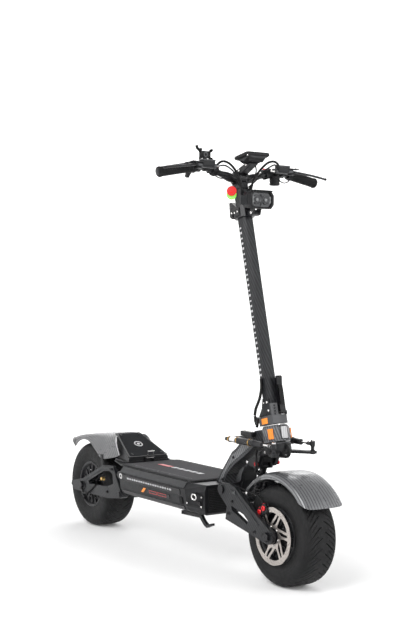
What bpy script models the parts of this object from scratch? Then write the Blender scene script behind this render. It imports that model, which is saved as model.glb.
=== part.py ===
"""Electric kick scooter with two hub motors, swingarm suspension and a folding stem.

Metres, +Z up, +X forward, +Y to the rider's left. The origin is on the ground under the middle of
the scooter. Every sub-part is one named object; pieces that move hang from an empty on their axis.
"""
import bmesh
import bpy
from math import cos, pi, radians, sin
from mathutils import Matrix, Vector

for old in list(bpy.data.objects):
    bpy.data.objects.remove(old, do_unlink=True)

# ---------------------------------------------------------------- driving dimensions
GAP = 0.0003                      # between touching pieces
WHEELBASE = 1.211
TYRE_R = 0.165                    # 13 inch tyre
TYRE_W = 0.127
RIM_R = 0.084
ROTOR_R = 0.0924
ROTOR_Y = 0.0745                  # middle of the brake disc, off the centre plane
WHEEL_SIDES = 48
X_AXLE = {"front": WHEELBASE / 2, "rear": -WHEELBASE / 2}

RAKE = radians(14.3)              # steering axis leans back
HEAD = Vector((0.525, 0.0, 0.45))  # point on the steering axis, at the foot of the head tube
FOLD_U, FOLD_W = -0.048, 0.084    # fold pin, forward of and along the steering axis from HEAD
STEM_DEPTH, STEM_WIDTH = 0.0440, 0.0440
STEM_FOOT_W, STEM_TOP_W = 0.092, 0.888

BAR_X, BAR_END = 0.303, 0.330
GRIP_LENGTH, GRIP_R, BAR_R = 0.118, 0.0165, 0.0111
LEVER_X = 0.054                   # lever blade ahead of the bar
LEVER_CLAMP_Y = 0.176             # middle of the brake levers' clamps

DECK_FRONT, DECK_REAR, DECK_TAIL = 0.2960, -0.285, -0.372
DECK_BOTTOM, DECK_RIM = 0.185, 0.2875
MAT_REAR = -0.246
DECK_HALF = 0.150                 # at the widest, on the side strip

FRONT_PIVOT = Vector((0.352, 0.0, 0.282))
REAR_PIVOT = Vector((-0.317, 0.0, 0.168))
ARM_IN, ARM_OUT = 0.0815, 0.0965  # inner and outer faces of the swingarm plates
PIN_R = 0.007
SHOCK_PIN_R = 0.005
SHOCK = {                         # fixed eye, swingarm eye
    "front": (Vector((0.458, 0.0, 0.366)), Vector((0.414, 0.0, 0.250))),
    "rear": (Vector((-0.304, 0.0, 0.252)), Vector((-0.405, 0.0, 0.166))),
}
DAMPER_Y, DAMPER_Z = 0.080, 0.4515
DAMPER_REAR, DAMPER_FRONT = 0.365, 0.612
CATCH_PIVOT = Vector((-0.2530, 0.0, 0.3085))
KICKSTAND_PIVOT = Vector((0.140, -0.104, 0.172))

# ---------------------------------------------------------------- materials
PALETTE = {
    "black_frame": ((0.030, 0.031, 0.034), 0.45, 0.6),
    "carbon": ((0.055, 0.057, 0.062), 0.35, 0.3),
    "mat": ((0.175, 0.170, 0.180), 0.85, 0.0),
    "silver_fender": ((0.330, 0.330, 0.340), 0.35, 0.4),
    "tyre": ((0.040, 0.040, 0.043), 0.80, 0.0),
    "steel": ((0.620, 0.600, 0.580), 0.25, 1.0),
    "black_metal": ((0.022, 0.022, 0.025), 0.35, 0.8),
    "black_plastic": ((0.020, 0.020, 0.022), 0.50, 0.0),
    "rubber": ((0.025, 0.025, 0.027), 0.85, 0.0),
    "kick_plate": ((0.045, 0.052, 0.062), 0.50, 0.2),
    "amber": ((0.900, 0.350, 0.040), 0.15, 0.0),
    "red": ((0.650, 0.040, 0.050), 0.35, 0.4),
    "battery": ((0.050, 0.120, 0.250), 0.60, 0.0),
    "head_grey": ((0.280, 0.285, 0.295), 0.30, 0.3),
}


def material(name):
    """A Principled material of the palette, made once."""
    if name in bpy.data.materials:
        return bpy.data.materials[name]
    colour, roughness, metallic = PALETTE[name]
    made = bpy.data.materials.new(name)
    made.use_nodes = True
    shader = made.node_tree.nodes["Principled BSDF"]
    shader.inputs["Base Color"].default_value = (*colour, 1.0)
    shader.inputs["Roughness"].default_value = roughness
    shader.inputs["Metallic"].default_value = metallic
    return made


# ---------------------------------------------------------------- mesh helpers
def prism(outline, y0, y1, place=None):
    """A flat outline in (x, z) drawn out from y0 to y1; place maps it somewhere else."""
    bm = bmesh.new()
    lower = [bm.verts.new((x, y0, z)) for x, z in outline]
    upper = [bm.verts.new((x, y1, z)) for x, z in outline]
    bm.faces.new(lower)
    bm.faces.new(upper)
    for i in range(len(outline)):
        j = (i + 1) % len(outline)
        bm.faces.new((lower[i], lower[j], upper[j], upper[i]))
    return finish_mesh(bm, place)


def finish_mesh(bm, place=None):
    """Points the faces out and moves the mesh into place."""
    if place is not None:
        bm.transform(place)
    bmesh.ops.recalc_face_normals(bm, faces=bm.faces)
    return bm


def loft(rings, place=None):
    """Closed loops of points, skinned one to the next, with both ends filled."""
    bm = bmesh.new()
    loops = [[bm.verts.new(p) for p in ring] for ring in rings]
    count = len(rings[0])
    for a, b in zip(loops, loops[1:]):
        for i in range(count):
            j = (i + 1) % count
            bm.faces.new((a[i], a[j], b[j], b[i]))
    bm.faces.new(loops[0])
    bm.faces.new(loops[-1])
    return finish_mesh(bm, place)


def turned(profile, segments, place):
    """A closed profile of (radius, along) turned about local Z; radius 0 closes on the axis."""
    bm = bmesh.new()
    rings = []
    for radius, along in profile:
        if radius == 0:
            rings.append([bm.verts.new((0, 0, along))] * segments)
            continue
        angles = [2 * pi * (k + 0.5) / segments for k in range(segments)]
        rings.append([bm.verts.new((radius * cos(a), radius * sin(a), along)) for a in angles])
    solid_ends = profile[0][0] == 0
    pairs = list(zip(rings, rings[1:]))
    if not solid_ends:
        pairs.append((rings[-1], rings[0]))
    for a, b in pairs:
        for k in range(segments):
            n = (k + 1) % segments
            corners = list(dict.fromkeys((a[k], a[n], b[n], b[k])))
            bm.faces.new(corners)
    return finish_mesh(bm, place)


def rod(start, end, radius, segments=12, end_radius=None):
    """A round bar, or a cone, between two points."""
    start, end = Vector(start), Vector(end)
    length = (end - start).length
    top = radius if end_radius is None else end_radius
    place = Matrix.Translation(start) @ (end - start).to_track_quat("Z", "Y").to_matrix().to_4x4()
    return turned([(0, 0), (radius, 0), (top, length), (0, length)], segments, place)


def ring(centre, axis, outer, inner, thickness, segments=24):
    """A flat washer about an axis, centred on a point."""
    place = Matrix.Translation(centre) @ Vector(axis).to_track_quat("Z", "Y").to_matrix().to_4x4()
    half = thickness / 2
    return turned([(outer, -half), (outer, half), (inner, half), (inner, -half)], segments, place)


def block(centre, size, place=None):
    """A box about its centre."""
    bm = bmesh.new()
    bmesh.ops.create_cube(bm, size=1.0)
    bm.transform(Matrix.Translation(centre) @ Matrix.Diagonal((*size, 1.0)))
    return finish_mesh(bm, place)


def merged(*parts):
    """Separate bodies that share one object."""
    target = bmesh.new()
    for part in parts:
        mesh = bpy.data.meshes.new("part")
        part.to_mesh(mesh)
        part.free()
        target.from_mesh(mesh)
        bpy.data.meshes.remove(mesh)
    return target


def make(name, bm, look, parent=None, add=(), cut=(), bevel=0.0):
    """A named object from a mesh, with other shapes joined to it or cut out of it."""
    obj = plain_object(name, bm)
    obj.data.materials.append(material(look))
    for kind, shapes in (("UNION", add), ("DIFFERENCE", cut)):
        for i, shape in enumerate(shapes):
            tool = plain_object(f"tool_{kind[0]}{i}_{name}", shape)
            tool.hide_render = True
            tool.hide_viewport = False
            tool.display_type = "WIRE"
            boolean = obj.modifiers.new(f"{kind.lower()}_{i}", "BOOLEAN")
            boolean.operation = kind
            boolean.object = tool
            boolean.solver = "EXACT"
    if bevel:
        edge = obj.modifiers.new("bevel", "BEVEL")
        edge.width = bevel
        edge.segments = 1
        edge.limit_method = "ANGLE"
        edge.angle_limit = radians(50)
    if parent is not None:
        obj.parent = parent
        obj.matrix_parent_inverse = Matrix.Translation(parent.location).inverted()
    return obj


def plain_object(name, bm):
    """Links a mesh into the scene, round faces smooth and corners sharp."""
    mesh = bpy.data.meshes.new(name)
    bm.to_mesh(mesh)
    bm.free()
    mesh.shade_smooth()
    mesh.set_sharp_from_angle(angle=radians(35))
    obj = bpy.data.objects.new(name, mesh)
    bpy.context.scene.collection.objects.link(obj)
    return obj


def axis_empty(name, location):
    """An empty on a joint's axis, to hang its moving pieces from."""
    empty = bpy.data.objects.new(name, None)
    empty.location = location
    bpy.context.scene.collection.objects.link(empty)
    return empty


def cable(name, route, radius, look, parent=None, spacing=2.5):
    """A round cable on a smooth curve through a route's points."""
    points = smooth_route([Vector(p) for p in route], radius * 2 * spacing)
    curve = bpy.data.curves.new(name, "CURVE")
    curve.dimensions = "3D"
    curve.bevel_depth = radius
    curve.bevel_resolution = 2
    curve.use_fill_caps = True
    spline = curve.splines.new("POLY")
    spline.points.add(len(points) - 1)
    for spot, point in zip(spline.points, points):
        spot.co = (*point, 1.0)
    obj = bpy.data.objects.new(name, curve)
    obj.data.materials.append(material(look))
    bpy.context.scene.collection.objects.link(obj)
    if parent is not None:
        obj.parent = parent
        obj.matrix_parent_inverse = Matrix.Translation(parent.location).inverted()
    return obj


def smooth_route(route, step):
    """Points about a step apart on a Catmull-Rom curve through the route."""
    ends = [2 * route[0] - route[1]] + route + [2 * route[-1] - route[-2]]
    points = [route[0]]
    for a, b, c, d in zip(ends, ends[1:], ends[2:], ends[3:]):
        count = max(1, round((c - b).length / step))
        for k in range(1, count + 1):
            t = k / count
            points.append(0.5 * (2 * b + (c - a) * t + (2 * a - 5 * b + 4 * c - d) * t * t
                                 + (3 * b - a - 3 * c + d) * t ** 3))
    return points


def arc(cx, cz, radius, start, end, count):
    """Points of an arc in a side view, angles in degrees from +X towards +Z."""
    angles = [radians(start + (end - start) * k / (count - 1)) for k in range(count)]
    return [(cx + radius * cos(a), cz + radius * sin(a)) for a in angles]


def across(y, place=None):
    """Local Z turned to +Y, at a side offset: for wheels, discs and pins."""
    return Matrix.Translation((0, y, 0)) @ Matrix.Rotation(-pi / 2, 4, "X")


# Steering frame: local x forward of the axis, y left, z along the axis from HEAD.
STEER = Matrix.Translation(HEAD) @ Matrix.Rotation(-RAKE, 4, "Y")


def steered(u, y, w):
    """World point from the steering frame."""
    return STEER @ Vector((u, y, w))


FOLD_PIVOT = steered(FOLD_U, 0, FOLD_W)
BAR_CENTRE_Z = steered(0, 0, STEM_TOP_W + 0.016).z


# ---------------------------------------------------------------- wheels
def wheel(end, parent):
    """Tyre, hub motor with rim, and brake disc of one wheel."""
    centre = Matrix.Translation((X_AXLE[end], 0, TYRE_R)) @ across(0)
    half = TYRE_W / 2
    reach = TYRE_R / cos(pi / WHEEL_SIDES)      # the flat facet, not the corner, meets the ground
    section = [
        (reach, -0.034), (reach, 0.034),
        (reach - 0.0045, 0.048), (reach - 0.016, 0.0585), (reach - 0.034, half),
        (reach - 0.056, half - 0.002), (RIM_R + GAP, half - 0.012),
        (RIM_R + GAP, -half + 0.012), (reach - 0.056, -half + 0.002), (reach - 0.034, -half),
        (reach - 0.016, -0.0585), (reach - 0.0045, -0.048),
    ]
    make(f"{end}_tyre", turned(section, WHEEL_SIDES, centre), "tyre", parent)

    side = -1 if end == "front" else 1          # the disc's side
    hub = [
        (0.0115, -0.070), (0.034, -0.070), (0.040, -0.052), (RIM_R - 0.006, -0.050),
        (RIM_R, -0.0515), (RIM_R, 0.0515), (RIM_R - 0.006, 0.050), (0.040, 0.052),
        (0.034, 0.070), (0.0115, 0.070),
    ]
    make(f"{end}_hub", turned(hub, 24, centre), "black_metal", parent)

    disc = ring((X_AXLE[end], side * ROTOR_Y, TYRE_R), (0, 1, 0), ROTOR_R, 0.022, 0.0024, 32)
    make(f"{end}_rotor", disc, "steel", parent)


def axle(end, parent):
    """Fixed axle with its two end nuts, through the hub and both arms."""
    x = X_AXLE[end]
    pin = rod((x, -ARM_OUT - 0.001, TYRE_R), (x, ARM_OUT + 0.001, TYRE_R), 0.0085, 16)
    nuts = [rod((x, s * (ARM_OUT + GAP), TYRE_R), (x, s * (ARM_OUT + 0.010), TYRE_R), 0.0145, 6)
            for s in (-1, 1)]
    make(f"{end}_axle", pin, "steel", parent, add=nuts)


def caliper(end, parent):
    """Brake caliper: a U that straddles the disc's edge behind and above the axle."""
    side = -1 if end == "front" else 1
    lean = radians(124 if end == "front" else 60)
    x, z = X_AXLE[end], TYRE_R
    place = Matrix.Translation((x, 0, z)) @ Matrix.Rotation(-lean, 4, "Y")
    outer = ARM_IN - 0.0006
    inner = 0.0655
    slot = 0.0024
    section = [(inner, 0.074), (ROTOR_Y - slot, 0.074), (ROTOR_Y - slot, ROTOR_R + 0.003),
               (ROTOR_Y + slot, ROTOR_R + 0.003), (ROTOR_Y + slot, 0.074), (outer, 0.074),
               (outer, 0.106), (inner, 0.106)]
    bm = bmesh.new()
    low = [bm.verts.new((r, side * y, -0.026)) for y, r in section]
    high = [bm.verts.new((r, side * y, 0.026)) for y, r in section]
    bm.faces.new(low)
    bm.faces.new(high)
    for i in range(len(section)):
        j = (i + 1) % len(section)
        bm.faces.new((low[i], low[j], high[j], high[i]))
    make(f"{end}_caliper", finish_mesh(bm, place), "black_metal", parent)


# ---------------------------------------------------------------- suspension
def front_swingarm(parent):
    """Two plates from the pivot to the axle, joined by a bridge that carries the shock."""
    px, pz = FRONT_PIVOT.x, FRONT_PIVOT.z
    ax, az = X_AXLE["front"], TYRE_R
    outline = (arc(px, pz, 0.022, 75, 235, 7)
               + [(0.383, 0.229), (0.376, 0.186), (0.508, 0.160)]
               + arc(ax, az, 0.025, -110, 68, 8)
               + [(0.520, 0.240), (0.425, 0.299), (0.394, 0.307)])
    window = [(0.408, 0.236), (0.412, 0.221), (0.497, 0.187), (0.502, 0.199), (0.478, 0.216)]
    swingarm("front", outline, window, FRONT_PIVOT, parent)


def rear_swingarm(parent):
    """Open frame plates with a high bar under the fender and a low bar to the pivot."""
    px, pz = REAR_PIVOT.x, REAR_PIVOT.z
    ax, az = X_AXLE["rear"], TYRE_R
    outline = (arc(px, pz, 0.016, -75, 50, 5)
               + [(-0.338, 0.225), (-0.361, 0.268), (-0.384, 0.269), (-0.445, 0.263),
                  (-0.600, 0.192)]
               + [(-0.690, 0.172), (-0.694, 0.158), (-0.668, 0.139), (-0.404, 0.141)])
    window = [(-0.362, 0.202), (-0.369, 0.238), (-0.392, 0.247), (-0.440, 0.240),
              (-0.555, 0.188), (-0.548, 0.177), (-0.405, 0.186)]
    swingarm("rear", outline, window, REAR_PIVOT, parent)


def swingarm(end, outline, window, pivot, parent):
    """One swingarm from its side outline, window and pivot."""
    eye = SHOCK[end][1]
    axle_x = X_AXLE[end]
    left = prism(outline, ARM_IN, ARM_OUT)
    right = prism(outline, -ARM_OUT, -ARM_IN)
    bridge = rod((eye.x, -ARM_IN - 0.002, eye.z), (eye.x, ARM_IN + 0.002, eye.z), 0.0115, 12)
    bosses = [rod((pivot.x, s * 0.064, pivot.z), (pivot.x, s * (ARM_IN + 0.002), pivot.z), 0.0155, 12)
              for s in (-1, 1)]
    holes = [
        prism(window, -0.12, 0.12),
        rod((pivot.x, -0.12, pivot.z), (pivot.x, 0.12, pivot.z), PIN_R + GAP, 12),
        rod((axle_x, -0.12, TYRE_R), (axle_x, 0.12, TYRE_R), 0.0085 + GAP, 16),
    ]
    make(f"{end}_swingarm", merged(left, right), "carbon", parent,
         add=[bridge, *bosses], cut=holes)


def shock(end, body_parent, rod_parent):
    """Shock absorber: body at the fixed eye, rod at the swingarm eye, and the spring around both."""
    top, bottom = SHOCK[end]
    along = (bottom - top).normalized()
    length = (bottom - top).length
    eye_gap = 0.0115 + 0.0035           # open pivot: the rod's foot stops short of the bridge
    body_end = top + along * (length * 0.62)
    barrel = [rod(top - Vector((0, y, 0)), top + Vector((0, y, 0)), r, 12)
              for y, r in ((0.0150, 0.0080), (0.0230, SHOCK_PIN_R))]
    make(f"{end}_shock_body", rod(top + along * 0.004, body_end, 0.0120, 16), "black_metal",
         body_parent, add=barrel,
         cut=[rod(body_end - along * 0.052, body_end + along * 0.01, 0.0062, 12)])
    foot = bottom - along * eye_gap
    make(f"{end}_shock_rod", rod(body_end - along * 0.024, foot, 0.0055, 12), "steel",
         rod_parent, add=[rod(foot - along * 0.008, foot, 0.0115, 16)])
    place = Matrix.Translation(top) @ along.to_track_quat("Z", "Y").to_matrix().to_4x4()
    low, high = 0.026, length - eye_gap - 0.0115
    coil = turned([(0.0168, low), (0.0168, high), (0.0130, high), (0.0130, low)], 16, place)
    make(f"{end}_shock_spring", coil, "red", body_parent)


def fender(end, parent):
    """Curved mudguard shell with side skirts."""
    ax = X_AXLE[end]
    half, wall = 0.080, 0.003
    stations = []
    if end == "front":
        for k in range(13):
            rear_to_front = k / 12
            crown = radians(131 - 94.7 * rear_to_front)
            edge = radians(145 - 101 * rear_to_front)
            stations.append(((ax + 0.203 * cos(crown), TYRE_R + 0.203 * sin(crown)),
                             (ax + 0.183 * cos(edge), TYRE_R + 0.183 * sin(edge))))
    else:
        for k in range(5):
            a = radians(130 - 40 * k / 4)
            edge_r = 0.181 - 0.003 * k / 4
            stations.append(((ax + 0.199 * cos(a), TYRE_R + 0.199 * sin(a)),
                             (ax + edge_r * cos(a), TYRE_R + edge_r * sin(a))))
        for k in range(1, 7):
            t = k / 6
            a = radians(90 - 46 * min(1.0, t * 1.35))
            slide = max(0.0, (t - 0.74) / 0.26)
            edge_x = ax + (0.178 - 0.010 * t) * cos(a) + slide * 0.112
            edge_z = TYRE_R + (0.178 - 0.010 * t) * sin(a) + slide * 0.034
            stations.append(((ax + 0.177 * t, TYRE_R + 0.199 + 0.024 * t), (edge_x, edge_z)))
    profile = [(-1.0, 1.0), (-0.975, 0.55), (-0.90, 0.22), (-0.70, 0.06), (-0.35, 0.0),
               (0.35, 0.0), (0.70, 0.06), (0.90, 0.22), (0.975, 0.55), (1.0, 1.0)]
    rings = []
    for crown, edge in stations:
        outer, inner = [], []
        for side, drop in profile:
            x = crown[0] + (edge[0] - crown[0]) * drop
            z = crown[1] + (edge[1] - crown[1]) * drop
            outer.append((x, side * half, z))
            towards = Vector((ax - x, 0, TYRE_R - z)).normalized() * wall * (1 - abs(drop) * 0.7)
            inner.append((x + towards.x, side * (half - wall), z + towards.z))
        rings.append(outer + inner[::-1])
    make(f"{end}_fender", loft(rings), "silver_fender", parent)


# ---------------------------------------------------------------- deck
def deck_outline(half, front_half, rear_half, inset=0.0):
    """Plan of the deck, corners cut, as (x, y)."""
    front, rear = DECK_FRONT - inset, DECK_REAR + inset
    return [(rear, -rear_half), (rear + 0.055, -half), (front - 0.085, -half), (front, -front_half),
            (front, front_half), (front - 0.085, half), (rear + 0.055, half), (rear, rear_half)]


def deck():
    """Hollow deck body, its lid, mat, trims and what it holds."""
    levels = [(DECK_BOTTOM, 0.118, 0.112, 0.068, 0.006), (0.192, 0.132, 0.122, 0.070, 0.0),
              (0.208, 0.141, 0.124, 0.070, 0.0), (0.266, DECK_HALF, 0.126, 0.070, 0.0),
              (DECK_RIM, 0.1325, 0.116, 0.069, 0.003)]
    rings = [[(x, y, z) for x, y in deck_outline(h, f, r, inset)] for z, h, f, r, inset in levels]
    cavity = block((-0.018, 0, 0.256), (0.470, 0.236, 0.120))
    lugs = [block((REAR_PIVOT.x + 0.018, 0, 0.178), (0.068, 0.112, 0.036)),
            block((-0.3000, 0, 0.2600), (0.0360, 0.0520, 0.0430)),
            block((KICKSTAND_PIVOT.x, KICKSTAND_PIVOT.y + 0.0125, 0.1780), (0.0240, 0.0120, 0.0240)),
            rod(KICKSTAND_PIVOT - Vector((0, 0.0090, 0)), KICKSTAND_PIVOT + Vector((0, 0.0100, 0)), 0.0040, 12)]
    shock_eye = SHOCK["rear"][0]
    bores = [rod((REAR_PIVOT.x, -0.1, REAR_PIVOT.z), (REAR_PIVOT.x, 0.1, REAR_PIVOT.z), PIN_R + GAP, 12),
             rod((shock_eye.x, -0.05, shock_eye.z), (shock_eye.x, 0.05, shock_eye.z), SHOCK_PIN_R + GAP, 12),
             block((-0.3080, 0, 0.2450), (0.0320, 0.0320, 0.0560))]
    make("deck_shell", loft(rings), "black_frame", add=lugs, cut=[cavity, *bores])

    top = DECK_RIM + GAP
    lid = [(DECK_TAIL, -0.086), (DECK_REAR + 0.045, -0.1325), (0.212, -0.1325), (0.226, -0.128),
           (0.226, 0.128), (0.212, 0.1325), (DECK_REAR + 0.045, 0.1325), (DECK_TAIL, 0.086)]
    make("deck_plate", loft([[(x, y, z) for x, y in lid] for z in (top, top + 0.0030)]), "black_frame")
    mat_z = top + 0.0030 + GAP
    mat = [(MAT_REAR, -0.118), (MAT_REAR + 0.012, -0.1295), (0.206, -0.1295), (0.2220, -0.1180),
           (0.2220, 0.1180), (0.206, 0.1295), (MAT_REAR + 0.012, 0.1295), (MAT_REAR, 0.118)]
    make("deck_mat", loft([[(x, y, z) for x, y in mat] for z in (mat_z, mat_z + 0.0035)]), "mat")

    make("battery_pack", block((-0.055, 0, 0.236), (0.330, 0.200, 0.074)), "battery", bevel=0.004)
    make("motor_controller", block((0.165, 0, 0.230), (0.070, 0.190, 0.050)), "black_metal", bevel=0.003)
    make("front_panel", block((DECK_FRONT + 0.0022, 0, 0.2350), (0.0036, 0.222, 0.0820)), "rubber")


def kick_plate():
    """Sloping foot rest at the tail, hollow underneath."""
    base_z = DECK_RIM + 2 * GAP + 0.0030
    flange = [(-0.366, -0.085), (-0.258, -0.092), (-0.258, 0.092), (-0.366, 0.085)]
    foot = [(-0.396, -0.062), (-0.262, -0.088), (-0.262, 0.088), (-0.396, 0.062)]
    crest = [(-0.418, -0.050), (-0.262, -0.086), (-0.262, 0.086), (-0.418, 0.050)]
    slope = (0.384 - 0.310) / (-0.418 + 0.262)
    rings = [[(x, y, base_z + 0.0075) for x, y in foot],
             [(x, y, 0.310 + (x + 0.262) * slope) for x, y in crest]]
    plate = loft([[(x, y, z) for x, y in flange] for z in (base_z, base_z + 0.0080)])
    hollow_low = [(x * 0.985 - 0.004, y * 0.90, base_z - 0.01) for x, y in foot]
    hollow_high = [(-0.386 if x < -0.3 else -0.290, y * 0.84, 0.364 if x < -0.3 else 0.318)
                   for x, y in crest]
    tail_cut = block((-0.43, 0, base_z - 0.0050), (0.1, 0.3, 0.0240))
    ears = [block((-0.2560, s * 0.0182, base_z + 0.0105), (0.0140, 0.0044, 0.0210)) for s in (-1, 1)]
    catch_hole = rod((CATCH_PIVOT.x, -0.05, CATCH_PIVOT.z), (CATCH_PIVOT.x, 0.05, CATCH_PIVOT.z),
                     0.0030 + GAP, 8)
    make("kick_plate", loft(rings), "kick_plate", add=[plate, *ears],
         cut=[loft([hollow_low, hollow_high]), tail_cut, catch_hole])


def neck():
    """Fixed gooseneck from the deck to the head tube, with the bar that holds the steering dampers."""
    outline = [(0.234, 0.2500), (0.2965, 0.2500), (0.2985, 0.2950), (0.306, 0.322), (0.331, 0.345),
               (0.360, 0.367), (0.412, 0.399), (0.456, 0.430), (0.468, 0.4505), (0.530, 0.4560),
               (0.520, 0.4960), (0.470, 0.4870), (0.410, 0.460), (0.360, 0.416), (0.338, 0.402),
               (0.286, 0.338), (0.250, 0.290)]
    bar = rod((0.362, -0.088, DAMPER_Z), (0.362, 0.088, DAMPER_Z), 0.0065, 12)
    web = block((0.368, 0, 0.432), (0.016, 0.060, 0.044))
    ahead = block((0.4875, 0, 0.025), (1.0, 0.2, 0.4), STEER)
    saddle = turned([(0, -0.1), (0.030 + GAP, -0.1), (0.030 + GAP, 0.1), (0, 0.1)], 32, STEER)
    deck_pocket = block((0.30, 0, 0.235), (0.2, 0.12, 0.1058))
    obj = make("neck", prism(outline, -0.045, 0.045), "carbon", add=[web, bar],
               cut=[ahead, saddle, deck_pocket])
    return obj


def head():
    """Head tube, its front cover and the lamps in the cover."""
    tube = [(0.030, 0.0), (0.030, 0.0545), (0.0206, 0.0545), (0.0206, 0.0)]
    make("head_tube", turned(tube, 32, STEER), "black_metal")
    plan = [(-0.0120, 0.0440), (0.0150, 0.0440), (0.0350, 0.0330), (0.0460, 0.0170), (0.0490, 0.0)]
    plan = plan + [(u, -y) for u, y in plan[-2::-1]]
    rings = [[(u * g, y * g, w) for u, y in plan]
             for w, g in ((0.002, 0.97), (0.008, 1.0), (0.046, 1.0), (0.0555, 0.90))]
    rings = [[(max(u, -0.0120) if u > -0.02 else u, y, w) for u, y, w in r] for r in rings]
    bore = turned([(0, -0.1), (0.0303, -0.1), (0.0303, 0.1), (0, 0.1)], 32, STEER)
    rear = block((-0.0120 - 0.05, 0, 0.03), (0.1, 0.2, 0.2), STEER)
    make("head_cover", loft(rings, STEER), "head_grey", cut=[bore, rear])
    for s, name in ((-1, "right"), (1, "left")):
        turn = Matrix.Translation((0.0275, s * 0.0412, 0.0270)) @ Matrix.Rotation(s * radians(61), 4, "Z")
        lens = block((0, 0, 0), (0.0035, 0.0185, 0.034), STEER @ turn)
        make(f"turn_light_{name}", lens, "amber", bevel=0.001)


# ---------------------------------------------------------------- steered group
def fork(parent):
    """Steerer, crown and the beam down to the front swingarm's pivot, with the damper arms."""
    px, pz = FRONT_PIVOT.x, FRONT_PIVOT.z
    outline = ([(0.500, 0.4380), (0.488, 0.4260), (0.440, 0.3950), (0.382, 0.3590), (0.356, 0.3380),
                (0.338, 0.3120)]
               + arc(px, pz, 0.0215, 150, 320, 7)
               + [(0.379, 0.3080), (0.383, 0.3400), (0.408, 0.3680), (0.440, 0.3560), (0.470, 0.3600),
                  (0.474, 0.3780), (0.482, 0.4020), (0.560, 0.4140), (0.566, 0.4300), (0.556, 0.4420)])
    crown = turned([(0, -0.0340), (0.0440, -0.0340), (0.0460, -0.0300), (0.0460, -0.0080),
                    (0.0430, -0.0050), (0.0200, -0.0050), (0.0200, 0.0590), (0, 0.0590)], 32, STEER)
    tube = rod((px, -0.0625, pz), (px, 0.0625, pz), 0.0170, 16)
    eye = SHOCK["front"][0]
    shock_slot = block((0.4400, 0, 0.3410), (0.0900, 0.0320, 0.0780))
    pins = [rod((px, -0.1, pz), (px, 0.1, pz), PIN_R + GAP, 12),
            rod((eye.x, -0.1, eye.z), (eye.x, 0.1, eye.z), SHOCK_PIN_R + GAP, 12)]
    arms = []
    posts = []
    for s in (-1, 1):
        plan = [(0.525, s * 0.020), (0.548, s * 0.044), (0.598, s * 0.0900), (0.622, s * 0.0900),
                (0.622, s * 0.0700), (0.560, s * 0.014)]
        arms.append(loft([[(x, y, z) for x, y in plan] for z in (0.4200, 0.4290)]))
        posts.append(rod((DAMPER_FRONT, s * DAMPER_Y, 0.4240), (DAMPER_FRONT, s * DAMPER_Y, 0.4640), 0.0045, 10))
    make("fork", prism(outline, -0.0270, 0.0270), "black_frame", parent,
         add=[crown, tube, *arms, *posts], cut=[shock_slot, *pins])
    swing_pin = rod((px, -ARM_OUT - 0.001, pz), (px, ARM_OUT + 0.001, pz), PIN_R, 12)
    heads = [rod((px, s * (ARM_OUT + GAP), pz), (px, s * (ARM_OUT + 0.006), pz), 0.0145, 12)
             for s in (-1, 1)]
    make("front_pivot_pin", swing_pin, "black_metal", parent, add=heads)


def fold_base(parent):
    """Clamp block on the steerer that carries the fold pin at its back."""
    plan = [(-0.034, -0.034), (0.030, -0.034), (0.034, -0.028), (0.034, 0.028), (0.030, 0.034),
            (-0.034, 0.034)]
    body = loft([[(u, y, w) for u, y in plan] for w in (0.0600, 0.0890)], STEER)
    ears = [prism([(-0.030, 0.0700), (-0.030, 0.0890)] + arc(FOLD_U, FOLD_W, 0.0105, 70, 290, 6),
                  s * 0.0225, s * 0.0340, STEER) for s in (-1, 1)]
    front = block((0.0300, -0.0150, 0.1060), (0.0070, 0.0260, 0.0430), STEER)
    pin = rod(steered(FOLD_U, -0.036, FOLD_W), steered(FOLD_U, 0.036, FOLD_W), 0.0050, 12)
    make("fold_base", body, "head_grey", parent, add=[*ears, front, pin])


def steering_dampers(hinges, slides):
    """Two hydraulic dampers from the neck's bar to the arms of the crown."""
    for s, name in ((-1, "right"), (1, "left")):
        y = s * DAMPER_Y
        tube = turned([(0, 0.0080), (0.0085, 0.0080), (0.0085, 0.0560), (0.0110, 0.0600),
                       (0.0110, 0.1900), (0.0042, 0.1900), (0.0042, 0.0900), (0, 0.0900)], 16,
                      Matrix.Translation((DAMPER_REAR, y, DAMPER_Z)) @ Matrix.Rotation(pi / 2, 4, "Y"))
        make(f"steering_damper_{name}", tube, "black_metal", hinges[name])
        slim = rod((DAMPER_REAR + 0.134, y, DAMPER_Z), (DAMPER_FRONT - 0.0135, y, DAMPER_Z), 0.0038, 10)
        make(f"damper_rod_{name}", slim, "steel", slides[name],
             add=[rod((DAMPER_FRONT - 0.028, y, DAMPER_Z), (DAMPER_FRONT - 0.0125, y, DAMPER_Z), 0.0062, 10)])


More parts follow.
